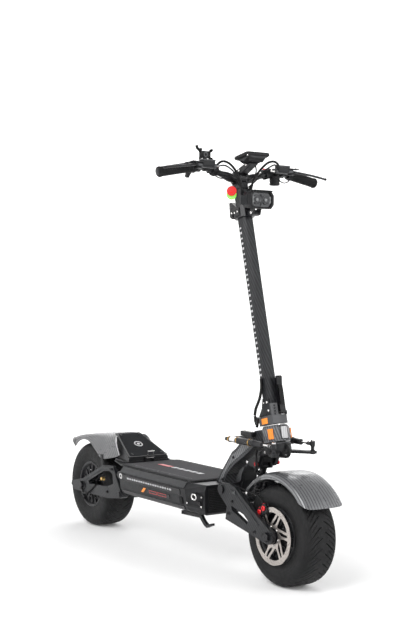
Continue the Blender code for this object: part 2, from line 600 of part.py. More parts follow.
# ---------------------------------------------------------------- stem and bar
def stem(parent):
    """Stem tube with its hinge foot and bar clamp, and the collar with hook and lamp arm."""
    d, w = STEM_DEPTH / 2, STEM_WIDTH / 2
    cut_x, cut_y = 0.009, 0.008
    plan = [(-d, -w + cut_y), (-d + cut_x, -w), (d - cut_x, -w), (d, -w + cut_y),
            (d, w - cut_y), (d - cut_x, w), (-d + cut_x, w), (-d, w - cut_y)]
    tube = loft([[(u, y, z) for u, y in plan] for z in (STEM_FOOT_W + 0.006, STEM_TOP_W - 0.002)], STEER)
    foot_side = ([(0.0240, STEM_FOOT_W), (0.0255, 0.1250), (0.0190, 0.1500), (-0.0190, 0.1500),
                  (-0.0300, 0.1180)] + arc(FOLD_U, FOLD_W, 0.0100, 110, 300, 6)
                 + [(-0.0360, STEM_FOOT_W)])
    foot = prism(foot_side, -0.0195, 0.0195, STEER)
    clamp = turned([(0, -0.024), (0.0215, -0.024), (0.0215, 0.024), (0, 0.024)], 20,
                   Matrix.Translation((BAR_X, 0, BAR_CENTRE_Z)) @ Matrix.Rotation(-pi / 2, 4, "X"))
    bore = rod((BAR_X, -0.1, BAR_CENTRE_Z), (BAR_X, 0.1, BAR_CENTRE_Z), 0.0159 + GAP, 20)
    pin_hole = rod(steered(FOLD_U, -0.05, FOLD_W), steered(FOLD_U, 0.05, FOLD_W), 0.0050 + GAP, 12)
    make("stem_tube", tube, "carbon", parent, add=[foot, clamp], cut=[bore, pin_hole])

    c = 0.785                            # collar height on the stem
    outer = [(u * 1.30, y * 1.30) for u, y in plan]
    inner = [(u * (1 + 2 * GAP / d), y * (1 + 2 * GAP / w)) for u, y in plan]
    band = loft([[(u, y, z) for u, y in outer] for z in (c - 0.020, c + 0.020)], STEER)
    hook = prism([(-0.0200, c + 0.018), (-0.0560, c + 0.052), (-0.0660, c + 0.046),
                  (-0.0720, c + 0.004), (-0.0620, c - 0.006), (-0.0560, c + 0.000),
                  (-0.0560, c + 0.018), (-0.0440, c + 0.012), (-0.0440, c - 0.016), (-0.0200, c - 0.018)],
                 -0.0090, 0.0090, STEER)
    arm = prism([(0.0200, c - 0.019), (0.0200, c - 0.001), (0.0560, c - 0.009), (0.0660, c - 0.011),
                 (0.0660, c - 0.027), (0.0560, c - 0.029)], -0.0100, 0.0100, STEER)
    lamp_bore = rod(steered(0.0600, -0.05, c - 0.019), steered(0.0600, 0.05, c - 0.019), 0.0035, 10)
    make("stem_collar", band, "black_metal", parent, add=[hook, arm],
         cut=[loft([[(u, y, z) for u, y in inner] for z in (c - 0.03, c + 0.03)], STEER), lamp_bore])


def bar_point(y):
    """Middle of the handlebar at a side offset: low in the middle, a rise, then down to the grips."""
    rise = [(0.0, 0.0), (0.035, 0.0), (0.085, 0.014), (0.140, 0.031), (0.190, 0.029),
            (0.240, 0.021), (BAR_END, 0.003)]
    side = abs(y)
    for (y0, z0), (y1, z1) in zip(rise, rise[1:]):
        if side <= y1:
            t = (side - y0) / (y1 - y0)
            return Vector((BAR_X, y, BAR_CENTRE_Z + z0 + (z1 - z0) * t))
    return Vector((BAR_X, y, BAR_CENTRE_Z + rise[-1][1]))


def handlebar(parent):
    """Handlebar tube, thick at the clamp, and its two grips."""
    half = [0.0, 0.030, 0.050, 0.085, 0.112, 0.140, 0.165, 0.190, 0.240, BAR_END - 0.004]
    stations = [-y for y in half[:0:-1]] + half
    rings = []
    for y in stations:
        radius = 0.0159 if abs(y) < 0.06 else BAR_R
        p = bar_point(y)
        rings.append([(p.x + radius * cos(2 * pi * k / 14), p.y, p.z + radius * sin(2 * pi * k / 14))
                      for k in range(14)])
    make("handlebar", loft(rings), "black_metal", parent)
    for s, name in ((-1, "right"), (1, "left")):
        inner, outer = bar_point(s * (BAR_END - GRIP_LENGTH)), bar_point(s * BAR_END)
        along = (outer - inner).normalized()
        place = Matrix.Translation(inner) @ along.to_track_quat("Z", "Y").to_matrix().to_4x4()
        length = (outer - inner).length
        bore = BAR_R + 0.0008
        sleeve = turned([(bore, 0), (GRIP_R + 0.002, 0), (GRIP_R + 0.002, 0.005), (GRIP_R, 0.008),
                         (GRIP_R, length - 0.006), (GRIP_R - 0.002, length - 0.0008),
                         (bore, length - 0.0008)], 16, place)
        make(f"grip_{name}", sleeve, "rubber", parent)


def controls(parent, axes):
    """Brake lever clamps with fluid tanks, the levers, switch pod, thumb throttle and mode button."""
    for s, name in ((-1, "right"), (1, "left")):
        y = s * LEVER_CLAMP_Y
        at = bar_point(y)
        clamp = ring(at, (0, 1, 0), 0.0170, BAR_R + 0.0008, 0.0180, 16)
        tank = block((BAR_X + 0.0330, y - s * 0.0180, at.z + 0.0100), (0.0260, 0.0560, 0.0260))
        arm = block((BAR_X + 0.0210, y, at.z + 0.0030), (0.0120, 0.0140, 0.0180))
        fork_top = block((BAR_X + 0.0380, y + s * 0.0270, at.z + 0.0125), (0.0180, 0.0460, 0.0050))
        make(f"brake_mount_{name}", clamp, "black_metal", parent, add=[tank, arm, fork_top])

    pod_at = bar_point(0.1160)
    tilt = (bar_point(0.1300) - bar_point(0.1000)).normalized()
    hole = rod(pod_at - tilt * 0.05, pod_at + tilt * 0.05, BAR_R + 0.0008, 16)
    button = axes["mode_button"].location
    recess = rod(button - Vector((0, 0, 0.0030)), button + Vector((0, 0, 0.01)), 0.0054, 12)
    make("switch_pod", ring(pod_at, tilt, 0.0172, BAR_R + 0.0008, 0.0270, 16), "black_plastic", parent,
         add=[block(pod_at + Vector((-0.0140, 0, 0.0040)), (0.0180, 0.0200, 0.0220))], cut=[hole, recess])

    for s, name in ((-1, "right"), (1, "left")):
        base = axes[f"brake_{name}"].location
        grip_z = bar_point(s * BAR_END).z
        blade = [(base.x - 0.0080, s * 0.2020), (base.x + 0.0090, s * 0.2020),
                 (base.x + 0.0120, s * 0.2280), (BAR_X + LEVER_X + 0.0060, s * 0.3200),
                 (BAR_X + LEVER_X + 0.0030, s * 0.3410), (BAR_X + LEVER_X - 0.0060, s * 0.3410),
                 (BAR_X + LEVER_X - 0.0060, s * 0.3200), (base.x - 0.0060, s * 0.2300)]
        drop = (grip_z + 0.012 - base.z) / (0.341 - 0.202)
        rings = [[(x, y, base.z + off + (abs(y) - 0.202) * drop) for x, y in blade]
                 for off in (-0.0060, 0.0030)]
        make(f"brake_lever_{name}", loft(rings), "black_metal", axes[f"brake_{name}"])

    at = axes["throttle"].location
    thumb = prism([(at.x - 0.0150, at.z - 0.0050), (at.x - 0.0100, at.z - 0.0140),
                   (at.x - 0.0300, at.z - 0.0340), (at.x - 0.0360, at.z - 0.0300),
                   (at.x - 0.0280, at.z - 0.0060)], at.y - 0.006, at.y + 0.006)
    collar = ring(at, (0, 1, 0), 0.0200, BAR_R + 0.0016, 0.012, 16)
    make("throttle", collar, "black_plastic", axes["throttle"], add=[thumb])
    b = axes["mode_button"].location
    make("mode_button", rod(b, b + Vector((0, 0, 0.0045)), 0.0050, 12), "red", axes["mode_button"])


def cockpit(parent, axes):
    """Display, headlamp and phone clip."""
    lean = Matrix.Rotation(radians(-11), 4, "Y")
    screen_at = Matrix.Translation((0.3705, 0, 1.3960)) @ lean
    screen = block((0, 0, 0), (0.0780, 0.0980, 0.0120), screen_at)
    corners = ((-0.03, -0.04), (0.03, -0.04), (0.03, 0.04), (-0.03, 0.04))
    under = loft([[(x * g, y * g, z) for x, y in corners] for z, g in ((-0.0220, 0.62), (-0.0030, 1.0))],
                 screen_at)
    mount = prism([(BAR_X + 0.0100, BAR_CENTRE_Z + 0.0230), (BAR_X + 0.0280, BAR_CENTRE_Z + 0.0160),
                   (0.3850, 1.3740), (0.3500, 1.3740), (BAR_X - 0.0080, BAR_CENTRE_Z + 0.0290)],
                  -0.0160, 0.0160)
    make("display", screen, "black_plastic", parent, add=[under, mount])

    tilt = axes["headlight"].location
    lamp_at = Matrix.Translation(steered(0.0790, 0, 0.8040))
    shell = loft([[(x, y, z) for y, z in ((-0.050, -0.018), (-0.040, -0.030), (0.040, -0.030),
                                         (0.050, -0.018), (0.050, 0.018), (0.040, 0.030),
                                         (-0.040, 0.030), (-0.050, 0.018))]
                  for x in (-0.0260, 0.0300)], lamp_at)
    ears = [prism([(tilt.x - 0.0080, tilt.z - 0.0080), (tilt.x + 0.0100, tilt.z - 0.0080),
                   (tilt.x + 0.0140, tilt.z + 0.0240), (tilt.x - 0.0060, tilt.z + 0.0240)],
                  s * 0.0104, s * 0.0160) for s in (-1, 1)]
    screw = rod((tilt.x, -0.0165, tilt.z), (tilt.x, 0.0165, tilt.z), 0.0030, 10)
    make("headlight", shell, "black_plastic", axes["headlight"], add=[*ears, screw])

    clip = axes["phone_clip"].location
    body = block(clip + Vector((0, 0, 0.0230)), (0.0180, 0.0460, 0.0260))
    finger = rod(clip + Vector((0.002, -0.020, 0.0300)), clip + Vector((0.002, -0.034, 0.0480)), 0.0045, 8)
    neck_post = rod(clip + Vector((0, 0, 0.0004)), clip + Vector((0, 0, 0.0150)), 0.0090, 12)
    make("phone_clip", body, "black_plastic", axes["phone_clip"], add=[finger, neck_post])


def fold_lever(parent):
    """Lever along the stem's front face that clamps the fold, hinged just above the clamp block."""
    place = Matrix.Translation(parent.location) @ Matrix.Rotation(-RAKE, 4, "Y")
    side = [(0.0070, -0.0020), (0.0060, 0.0900), (0.0110, 0.1150), (0.0060, 0.1200), (-0.0040, 0.1000),
            (-0.0050, 0.0050), (-0.0060, -0.0020), (0.0, -0.0066)]
    blade = prism(side, -0.0110, 0.0110, place)
    pin_hole = turned([(0, -0.1), (0.0030, -0.1), (0.0030, 0.1), (0, 0.1)], 10,
                      place @ Matrix.Rotation(-pi / 2, 4, "X"))
    make("fold_lever", blade, "black_metal", parent, cut=[pin_hole])


def kickstand(parent):
    """Side stand, folded up along the deck's underside with its foot at the front."""
    p = KICKSTAND_PIVOT
    side = [(p.x - 0.008, p.z - 0.006), (p.x - 0.008, p.z + 0.0070), (0.2520, 0.1810), (0.2680, 0.1640),
            (0.2860, 0.1530), (0.3160, 0.1620), (0.3180, 0.1550), (0.2860, 0.1420), (0.2700, 0.1480),
            (0.2440, 0.1700)]
    hole = rod(p - Vector((0, 0.1, 0)), p + Vector((0, 0.1, 0)), 0.0040 + GAP, 12)
    make("kickstand", prism(side, p.y - 0.0060, p.y + 0.0060), "black_metal", parent, cut=[hole])


def stem_catch(parent):
    """Sprung loop on the foot rest that the stem's hook drops into."""
    p = parent.location
    legs = [rod(p + Vector((0, s * 0.0120, 0)), p + Vector((0.006, s * 0.0120, 0.026)), 0.0026, 8)
            for s in (-1, 1)]
    tie = rod(p + Vector((0.006, -0.0146, 0.026)), p + Vector((0.006, 0.0146, 0.026)), 0.0026, 8)
    base = rod(p + Vector((0, -0.0200, 0)), p + Vector((0, 0.0200, 0)), 0.0030, 8)
    make("stem_catch", base, "steel", parent, add=[*legs, tie])


def rear_pin():
    """Pin of the rear swingarm."""
    x, z = REAR_PIVOT.x, REAR_PIVOT.z
    shaft = rod((x, -ARM_OUT - 0.001, z), (x, ARM_OUT + 0.001, z), PIN_R, 12)
    heads = [rod((x, s * (ARM_OUT + GAP), z), (x, s * (ARM_OUT + 0.005), z), 0.0115, 12) for s in (-1, 1)]
    make("rear_pivot_pin", shaft, "steel", add=heads)


def cables(parent):
    """Brake hose that runs along the left of the bar to the stem."""
    left = [(BAR_X + 0.046, 0.128, 1.3700), (BAR_X + 0.058, 0.104, 1.3760), (BAR_X + 0.050, 0.070, 1.3560),
            (BAR_X + 0.038, 0.040, 1.3200), (BAR_X + 0.0345, 0.012, 1.2960)]
    cable("bar_hoses", left, 0.0026, "rubber", parent)


def build():
    """The whole scooter."""
    steer = axis_empty("axis_steering", HEAD)
    fold = axis_empty("axis_stem_fold", FOLD_PIVOT)
    front_arm = axis_empty("axis_front_swing", FRONT_PIVOT)
    rear_arm = axis_empty("axis_rear_swing", REAR_PIVOT)
    hubs = {end: axis_empty(f"axis_{end}_wheel", (X_AXLE[end], 0, TYRE_R)) for end in X_AXLE}
    shocks = {end: axis_empty(f"axis_{end}_shock", SHOCK[end][0]) for end in SHOCK}
    side = {"right": -DAMPER_Y, "left": DAMPER_Y}
    hinges = {k: axis_empty(f"axis_damper_{k}", (DAMPER_REAR, y, DAMPER_Z)) for k, y in side.items()}
    pod_z = bar_point(0.193).z + 0.006
    axes = {
        "brake_right": axis_empty("axis_brake_right", (BAR_X + 0.0390, -0.2140, pod_z)),
        "brake_left": axis_empty("axis_brake_left", (BAR_X + 0.0390, 0.2140, pod_z)),
        "throttle": axis_empty("axis_throttle", bar_point(-0.1950)),
        "mode_button": axis_empty("axis_mode_button", bar_point(0.1160) + Vector((-0.0165, 0, 0.0153))),
        "headlight": axis_empty("axis_headlight", steered(0.0600, 0, 0.766)),
        "phone_clip": axis_empty("axis_phone_clip", bar_point(-0.1450) + Vector((0.0, 0, 0.0175))),
    }
    deck()
    kick_plate()
    neck()
    head()
    rear_pin()
    kickstand(axis_empty("axis_kickstand", KICKSTAND_PIVOT))
    stem_catch(axis_empty("axis_stem_catch", CATCH_PIVOT))

    rear_swingarm(rear_arm)
    front_swingarm(front_arm)
    for end, arm in (("front", front_arm), ("rear", rear_arm)):
        fender(end, arm)
        caliper(end, arm)
        axle(end, arm)
        wheel(end, hubs[end])
        shock(end, shocks[end], shocks[end])

    fork(steer)
    fold_base(steer)
    steering_dampers(hinges, hinges)
    stem(fold)
    handlebar(fold)
    controls(fold, axes)
    cockpit(fold, axes)
    fold_lever(axis_empty("axis_fold_lever", steered(0.0335, 0.0145, 0.0965)))
    cables(fold)


build()
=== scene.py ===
"""Scene for an electric kick scooter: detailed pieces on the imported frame, materials, camera and light.

Metres; +X forward, +Y to the rider's left, +Z up. Each piece is built in its place at rest.
"""
import bmesh
import bpy
from math import atan2, cos, pi, radians, sin, sqrt
from mathutils import Matrix, Vector


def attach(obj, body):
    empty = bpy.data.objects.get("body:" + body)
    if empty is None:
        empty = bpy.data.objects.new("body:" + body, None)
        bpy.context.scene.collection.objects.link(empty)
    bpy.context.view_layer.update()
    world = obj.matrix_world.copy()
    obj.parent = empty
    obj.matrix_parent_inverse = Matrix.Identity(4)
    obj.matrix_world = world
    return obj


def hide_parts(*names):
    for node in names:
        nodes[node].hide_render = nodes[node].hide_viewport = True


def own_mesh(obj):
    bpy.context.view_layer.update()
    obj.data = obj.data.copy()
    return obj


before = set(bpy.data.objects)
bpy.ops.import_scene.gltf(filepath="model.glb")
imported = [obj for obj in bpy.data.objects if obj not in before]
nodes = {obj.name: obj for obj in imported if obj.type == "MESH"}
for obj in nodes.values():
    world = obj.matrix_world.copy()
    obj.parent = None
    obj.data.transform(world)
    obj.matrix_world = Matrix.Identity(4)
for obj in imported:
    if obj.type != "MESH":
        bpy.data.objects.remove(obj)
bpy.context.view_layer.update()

# ---------------------------------------------------------------- places, as in the CAD model
WHEEL_X = {"front": 0.6055, "rear": -0.6055}
TYRE_R = 0.165
ROTOR_Y = {"front": -0.0745, "rear": 0.0745}
RAKE = radians(14.3)
STEER = Matrix.Translation((0.525, 0, 0.45)) @ Matrix.Rotation(-RAKE, 4, "Y")
BAR_X = 0.303
BAR_Z = (STEER @ Vector((0, 0, 0.904))).z
RISE = [(0.0, 0.0), (0.035, 0.0), (0.085, 0.014), (0.14, 0.031), (0.19, 0.029), (0.24, 0.021), (0.33, 0.003)]
ARM_OUT = 0.0965
DAMPER_REAR, DAMPER_FRONT, DAMPER_Y, DAMPER_Z = 0.365, 0.612, 0.08, 0.4515
SIDES = ((-1, "right"), (1, "left"))
MAT_TOP = 0.2946
GRIP_INNER, GRIP_OUTER = 0.212, 0.33
BRAKE_Y, SWITCH_Y, THROTTLE_Y, PHONE_Y = 0.176, -0.108, -0.205, -0.145
LEFT_SWITCH_Y, HORN_Y = 0.116, 0.145
BAR_TUBE_R = 0.0111


def steered(u, y, w):
    """A point given forward of, beside and along the steering axis."""
    return STEER @ Vector((u, y, w))


def bar_point(y):
    """Middle of the handlebar tube at a side offset."""
    side = abs(y)
    for (y0, z0), (y1, z1) in zip(RISE, RISE[1:]):
        if side <= y1:
            return Vector((BAR_X, y, BAR_Z + z0 + (z1 - z0) * (side - y0) / (y1 - y0)))
    return Vector((BAR_X, y, BAR_Z + RISE[-1][1]))


# ---------------------------------------------------------------- materials
class Look:
    """A Principled material with short ways to add the nodes that feed it; each returns an output."""

    def __init__(self, name, colour, rough=0.5, metal=0.0, **constant):
        self.material = bpy.data.materials.new(name)
        self.material.use_nodes = True
        self.tree = self.material.node_tree
        self.shader = self.tree.nodes["Principled BSDF"]
        self.set("Base Color", (*colour, 1.0))
        self.set("Roughness", rough)
        self.set("Metallic", metal)
        for socket, value in constant.items():
            self.set(socket.replace("_", " "), value)
        self.place = self.node("ShaderNodeTexCoord").outputs["Object"]

    def node(self, kind, **settings):
        made = self.tree.nodes.new(kind)
        for key, value in settings.items():
            setattr(made, key, value)
        return made

    def set(self, socket, value):
        self.feed(self.shader.inputs[socket], value)

    def feed(self, target, value):
        if isinstance(value, bpy.types.NodeSocket):
            self.tree.links.new(value, target)
        else:
            target.default_value = value

    def maths(self, operation, *values):
        made = self.node("ShaderNodeMath", operation=operation)
        for socket, value in zip(made.inputs, values):
            self.feed(socket, value)
        return made.outputs[0]

    def moved(self, turn=(0, 0, 0), scale=(1, 1, 1)):
        made = self.node("ShaderNodeMapping")
        self.feed(made.inputs["Vector"], self.place)
        made.inputs["Rotation"].default_value = turn
        made.inputs["Scale"].default_value = scale
        return made.outputs[0]

    def axes(self, vector=None):
        made = self.node("ShaderNodeSeparateXYZ")
        self.feed(made.inputs[0], vector or self.place)
        return made.outputs

    def noise(self, scale, detail=3.0, vector=None):
        made = self.node("ShaderNodeTexNoise")
        self.feed(made.inputs["Vector"], vector or self.place)
        made.inputs["Scale"].default_value = scale
        made.inputs["Detail"].default_value = detail
        made.inputs["Roughness"].default_value = 0.55
        return made.outputs["Fac"]

    def cells(self, scale):
        made = self.node("ShaderNodeTexVoronoi")
        self.feed(made.inputs["Vector"], self.place)
        made.inputs["Scale"].default_value = scale
        return made.outputs["Distance"]

    def ramp(self, fac, *stops):
        made = self.node("ShaderNodeValToRGB")
        self.feed(made.inputs[0], fac)
        table = made.color_ramp.elements
        while len(table) < len(stops):
            table.new(0.5)
        for spot, (at, colour) in zip(table, stops):
            spot.position = at
            spot.color = (*colour, 1.0)
        return made.outputs[0]

    def length(self, a, b):
        squares = [self.maths("MULTIPLY", side, side) for side in (a, b)]
        return self.maths("SQRT", self.maths("ADD", *squares))

    def span(self, value, low, high, to_low, to_high):
        made = self.node("ShaderNodeMapRange")
        for socket, number in zip(made.inputs, (value, low, high, to_low, to_high)):
            self.feed(socket, number)
        return made.outputs[0]

    def mix(self, fac, a, b):
        made = self.node("ShaderNodeMix", data_type="RGBA")
        self.feed(made.inputs[0], fac)
        for socket, value in ((6, a), (7, b)):
            self.feed(made.inputs[socket], (*value, 1.0) if isinstance(value, tuple) else value)
        return made.outputs[2]

    def bump(self, height, depth, strength=1.0):
        made = self.node("ShaderNodeBump")
        self.feed(made.inputs["Height"], height)
        made.inputs["Distance"].default_value = depth
        made.inputs["Strength"].default_value = strength
        previous = self.shader.inputs["Normal"]
        if previous.is_linked:
            self.feed(made.inputs["Normal"], previous.links[0].from_socket)
        self.set("Normal", made.outputs[0])


def tone(colour, factor):
    """A colour made darker or lighter."""
    return tuple(min(1.0, c * factor) for c in colour)


def painted(name, colour, rough=0.4, metal=0.0, spread=0.25, grain=900.0, depth=0.00012, **constant):
    """Paint, plastic or anodised metal: slight tone changes, handling marks and a fine grain."""
    look = Look(name, colour, rough, metal, **constant)
    broad = look.noise(14.0, 4.0)
    look.set("Base Color", look.ramp(broad, (0.3, tone(colour, 1 - spread)), (0.7, tone(colour, 1 + spread))))
    look.set("Roughness", look.span(look.noise(60.0, 5.0), 0.25, 0.75, rough * 0.82, min(1.0, rough * 1.2)))
    look.bump(look.noise(grain, 2.0), depth)
    return look.material


def brushed(name, colour, rough, stretch=(4, 900, 900)):
    """Bare metal with fine drawn lines."""
    look = Look(name, colour, rough, 1.0)
    lines = look.noise(1.0, 2.0, look.moved(scale=stretch))
    look.set("Roughness", look.span(lines, 0.3, 0.7, rough * 0.7, rough * 1.4))
    look.set("Base Color", look.ramp(look.noise(20.0), (0.3, tone(colour, 0.85)), (0.7, tone(colour, 1.05))))
    look.bump(lines, 0.00006)
    return look.material


def woven(name, dark, light, cell=0.0036, rough=0.28, turn=(0, 0, 0), **constant):
    """Twill weave under clear lacquer, its threads running across and up."""
    look = Look(name, dark, rough, **constant)
    x, y, z = look.axes(look.moved(turn=turn))
    across = look.maths("DIVIDE", look.maths("ADD", x, y), cell)
    up = look.maths("DIVIDE", z, cell)
    square = look.maths("ADD", look.maths("FLOOR", across), look.maths("FLOOR", up))
    over = look.maths("LESS_THAN", look.maths("FLOORED_MODULO", square, 4.0), 1.5)
    height = look.node("ShaderNodeMix", data_type="FLOAT")
    look.feed(height.inputs[0], over)
    look.feed(height.inputs[2], look.maths("PINGPONG", across, 0.5))
    look.feed(height.inputs[3], look.maths("PINGPONG", up, 0.5))
    shade = look.maths("ADD", look.maths("MULTIPLY", height.outputs[0], 1.1), over)
    shade = look.maths("MULTIPLY", shade, 0.62)
    shade = look.maths("MULTIPLY", shade, look.span(look.noise(25.0), 0.3, 0.7, 0.75, 1.1))
    look.set("Base Color", look.mix(shade, dark, light))
    look.bump(height.outputs[0], 0.00025, 0.6)
    return look.material


def rubber(name, colour, rough=0.8, dust=0.35):
    """Rubber with a dusty bloom and a pebbled skin."""
    look = Look(name, colour, rough, Specular_IOR_Level=0.2)
    bloom = look.noise(22.0, 6.0)
    look.set("Base Color", look.ramp(bloom, (0.35, tone(colour, 0.8)), (0.75, tone(colour, 1 + dust))))
    look.set("Roughness", look.span(look.noise(90.0, 4.0), 0.3, 0.7, rough * 0.85, min(1.0, rough * 1.12)))
    look.bump(look.cells(900.0), 0.0002, 0.5)
    return look.material


def glowing(name, colour, strength):
    """A lamp's lens, ribbed inside and dimly lit."""
    look = Look(name, colour, 0.1, Coat_Weight=0.3)
    x, y, _ = look.axes()
    ribs = look.maths("PINGPONG", look.maths("MULTIPLY", look.maths("ADD", y, x), 260.0), 1.0)
    look.set("Base Color", look.mix(ribs, tone(colour, 0.6), tone(colour, 1.15)))
    look.set("Emission Color", (*colour, 1.0))
    look.set("Emission Strength", strength)
    look.bump(ribs, 0.0006)
    return look.material


def lined_fender(name, silver, dark, split_x, centre_x):
    """Silver shell with fine lines along it, plain dark grey behind split_x."""
    look = Look(name, silver, 0.3, 0.35, Coat_Weight=0.2, Coat_Roughness=0.15)
    x, y, z = look.axes()
    off_x = look.maths("SUBTRACT", x, centre_x)
    off_z = look.maths("SUBTRACT", z, TYRE_R)
    reach = look.length(off_x, off_z)
    wave = look.maths("SINE", look.maths("MULTIPLY", look.maths("ADD", x, z), 16.0))
    aside = look.maths("ADD", look.maths("ABSOLUTE", y), look.maths("MULTIPLY", wave, 0.004))
    line = look.maths("SUBTRACT", aside, reach)
    line = look.maths("PINGPONG", look.maths("MULTIPLY", line, 170.0), 1.0)
    thin = look.span(line, 0.18, 0.45, 0.0, 1.0)
    cloud = look.span(look.noise(18.0, 4.0), 0.3, 0.7, 0.7, 1.0)
    body = look.mix(look.maths("MULTIPLY", thin, cloud), tone(silver, 0.34), tone(silver, 1.1))
    ahead = look.span(look.maths("SUBTRACT", x, split_x), -0.002, 0.002, 0.0, 1.0)
    look.set("Base Color", look.mix(ahead, dark, body))
    look.set("Roughness", look.span(look.noise(70.0, 4.0), 0.3, 0.7, 0.24, 0.42))
    look.bump(thin, 0.0001, 0.35)
    return look.material


def deck_grip(name, colour):
    """Deck covering: fine diamond texture, engraved lines and worn lighter tops."""
    look = Look(name, colour, 0.85, Specular_IOR_Level=0.15)
    x, y, _ = look.axes()
    rows = [look.maths("PINGPONG", look.maths("MULTIPLY", look.maths(way, x, y), 330.0), 1.0)
            for way in ("ADD", "SUBTRACT")]
    diamond = look.maths("MINIMUM", *rows)
    worn = look.maths("MULTIPLY", diamond, look.noise(9.0, 5.0))
    look.set("Base Color", look.mix(worn, tone(colour, 0.72), tone(colour, 1.45)))
    look.bump(diamond, 0.0005, 0.7)
    look.bump(look.noise(1400.0), 0.0002, 0.5)
    return look.material


BLACK = painted("black_paint", (0.0075, 0.0078, 0.009), 0.4, 0.0, Specular_IOR_Level=0.26)
FRAME_GREY = painted("frame_grey", (0.022, 0.023, 0.025), 0.42, 0.0, Specular_IOR_Level=0.3)
PLASTIC = painted("moulded_black", (0.0075, 0.0075, 0.0085), 0.5, grain=1500.0, depth=0.0002,
                  Specular_IOR_Level=0.22)
GLOSS = painted("gloss_black", (0.004, 0.004, 0.005), 0.14, spread=0.1, depth=0.00002,
                Specular_IOR_Level=0.35)
ANODISED = painted("black_anodised", (0.008, 0.008, 0.0095), 0.3, 0.0, depth=0.00004, Specular_IOR_Level=0.3)
GREY_METAL = painted("grey_metal", (0.06, 0.061, 0.064), 0.34, 0.6, depth=0.00005)
CHROME = brushed("bright_steel", (0.78, 0.77, 0.76), 0.16)
STEEL = brushed("rotor_steel", (0.5, 0.46, 0.43), 0.34, (500, 500, 500))
RED = painted("red_anodised", (0.62, 0.025, 0.03), 0.25, 0.65, spread=0.12, depth=0.00003)
GOLD = painted("gold_anodised", (0.72, 0.42, 0.1), 0.25, 0.9, spread=0.12, depth=0.00003)
BRASS = painted("brass_nut", (0.62, 0.42, 0.16), 0.3, 1.0, spread=0.15, depth=0.00004)
ORANGE = painted("orange_label", (0.85, 0.27, 0.03), 0.45, spread=0.08, depth=0.00003)
CARBON = woven("carbon_frame", (0.004, 0.0042, 0.005), (0.05, 0.052, 0.056), Specular_IOR_Level=0.3)
CARBON_STEM = woven("carbon_stem", (0.004, 0.0042, 0.005), (0.026, 0.027, 0.03), 0.0032, 0.34, (0, -RAKE, 0),
                    Specular_IOR_Level=0.2)
CARBON_HEAD = woven("carbon_head", (0.012, 0.0125, 0.014), (0.17, 0.175, 0.185), 0.0036, 0.3, (0, -RAKE, 0),
                    Coat_Weight=0.1, Coat_Roughness=0.12)
CARBON_ARM = woven("carbon_arm", (0.004, 0.0042, 0.005), (0.03, 0.031, 0.034), 0.0034, 0.34,
                   Specular_IOR_Level=0.25)
TYRE = rubber("tyre_rubber", (0.0085, 0.0085, 0.009), 0.6)
SOFT = rubber("soft_rubber", (0.006, 0.006, 0.0065), 0.65)
HOSE = rubber("hose_rubber", (0.0055, 0.0055, 0.006), 0.45, 0.2)
MAT = deck_grip("deck_mat", (0.05, 0.049, 0.053))
KICK = deck_grip("kick_plate_grip", (0.008, 0.009, 0.011))
FENDER = {"front": lined_fender("front_fender_lines", (0.16, 0.163, 0.17), (0.02, 0.021, 0.023), 0.545,
                                0.6055), "rear": lined_fender("rear_fender_lines", (0.13, 0.131, 0.136),
        (0.009, 0.009, 0.01), -0.69, -0.6055),}
AMBER = glowing("amber_lens", (0.8, 0.23, 0.008), 0.1)
LAMP_LENS = glowing("lamp_lens", (0.2, 0.205, 0.21), 0.02)
CLEAR = glowing("clear_lens", (0.42, 0.42, 0.43), 0.03)
SCREEN = painted("display_glass", (0.01, 0.011, 0.014), 0.05, spread=0.1, depth=0.0, Coat_Weight=1.0)
# Pale print, also used for the painted highlight beads on the rear fender's front edge
PALE = painted("pale_print_and_highlight", (0.42, 0.42, 0.43), 0.45, spread=0.12, depth=0.00003)
DIM = painted("dim_print", (0.016, 0.016, 0.018), 0.45, spread=0.2, depth=0.00003)
RED_PRINT = painted("red_print", (0.5, 0.035, 0.035), 0.4, spread=0.1, depth=0.00003)
TAG_RED = painted("red_tag", (0.68, 0.012, 0.01), 0.35, spread=0.1, depth=0.00003, Specular_IOR_Level=0.3)
TAG_GREEN = painted("green_tag", (0.3, 0.85, 0.06), 0.35, spread=0.1, depth=0.00003, Specular_IOR_Level=0.3)


# ---------------------------------------------------------------- mesh helpers
def done(bm, place=None):
    """The bmesh put in its place, its faces turned out."""
    if place is not None:
        bm.transform(place)
    bmesh.ops.recalc_face_normals(bm, faces=bm.faces)
    return bm


def prism(outline, y0, y1, place=None):
    """An outline in (x, z) drawn out between y0 and y1."""
    y0, y1 = sorted((y0, y1))
    bm = bmesh.new()
    low = [bm.verts.new((x, y0, z)) for x, z in outline]
    high = [bm.verts.new((x, y1, z)) for x, z in outline]
    bm.faces.new(low)
    bm.faces.new(high)
    for i in range(len(outline)):
        j = (i + 1) % len(outline)
        bm.faces.new((low[i], low[j], high[j], high[i]))
    return done(bm, place)


def loft(rings, place=None):
    """Loops of points skinned one to the next, the ends filled."""
    bm = bmesh.new()
    loops = [[bm.verts.new(p) for p in ring] for ring in rings]
    count = len(rings[0])
    for a, b in zip(loops, loops[1:]):
        for i in range(count):
            j = (i + 1) % count
            bm.faces.new((a[i], a[j], b[j], b[i]))
    bm.faces.new(loops[0])
    bm.faces.new(loops[-1])
    return done(bm, place)


def turned(profile, segments=48, place=None):
    """A profile of (radius, along) turned about local Z; radius 0 closes on the axis."""
    bm = bmesh.new()
    rings = []
    for radius, along in profile:
        if radius == 0:
            rings.append([bm.verts.new((0, 0, along))] * segments)
        else:
            rings.append([bm.verts.new((x, y, along)) for x, y in circle(0, 0, radius, segments)])
    pairs = list(zip(rings, rings[1:]))
    if profile[0][0] != 0:
        pairs.append((rings[-1], rings[0]))
    for a, b in pairs:
        for k in range(segments):
            n = (k + 1) % segments
            corners = list(dict.fromkeys((a[k], a[n], b[n], b[k])))
            if len(corners) > 2:
                bm.faces.new(corners)
    return done(bm, place)


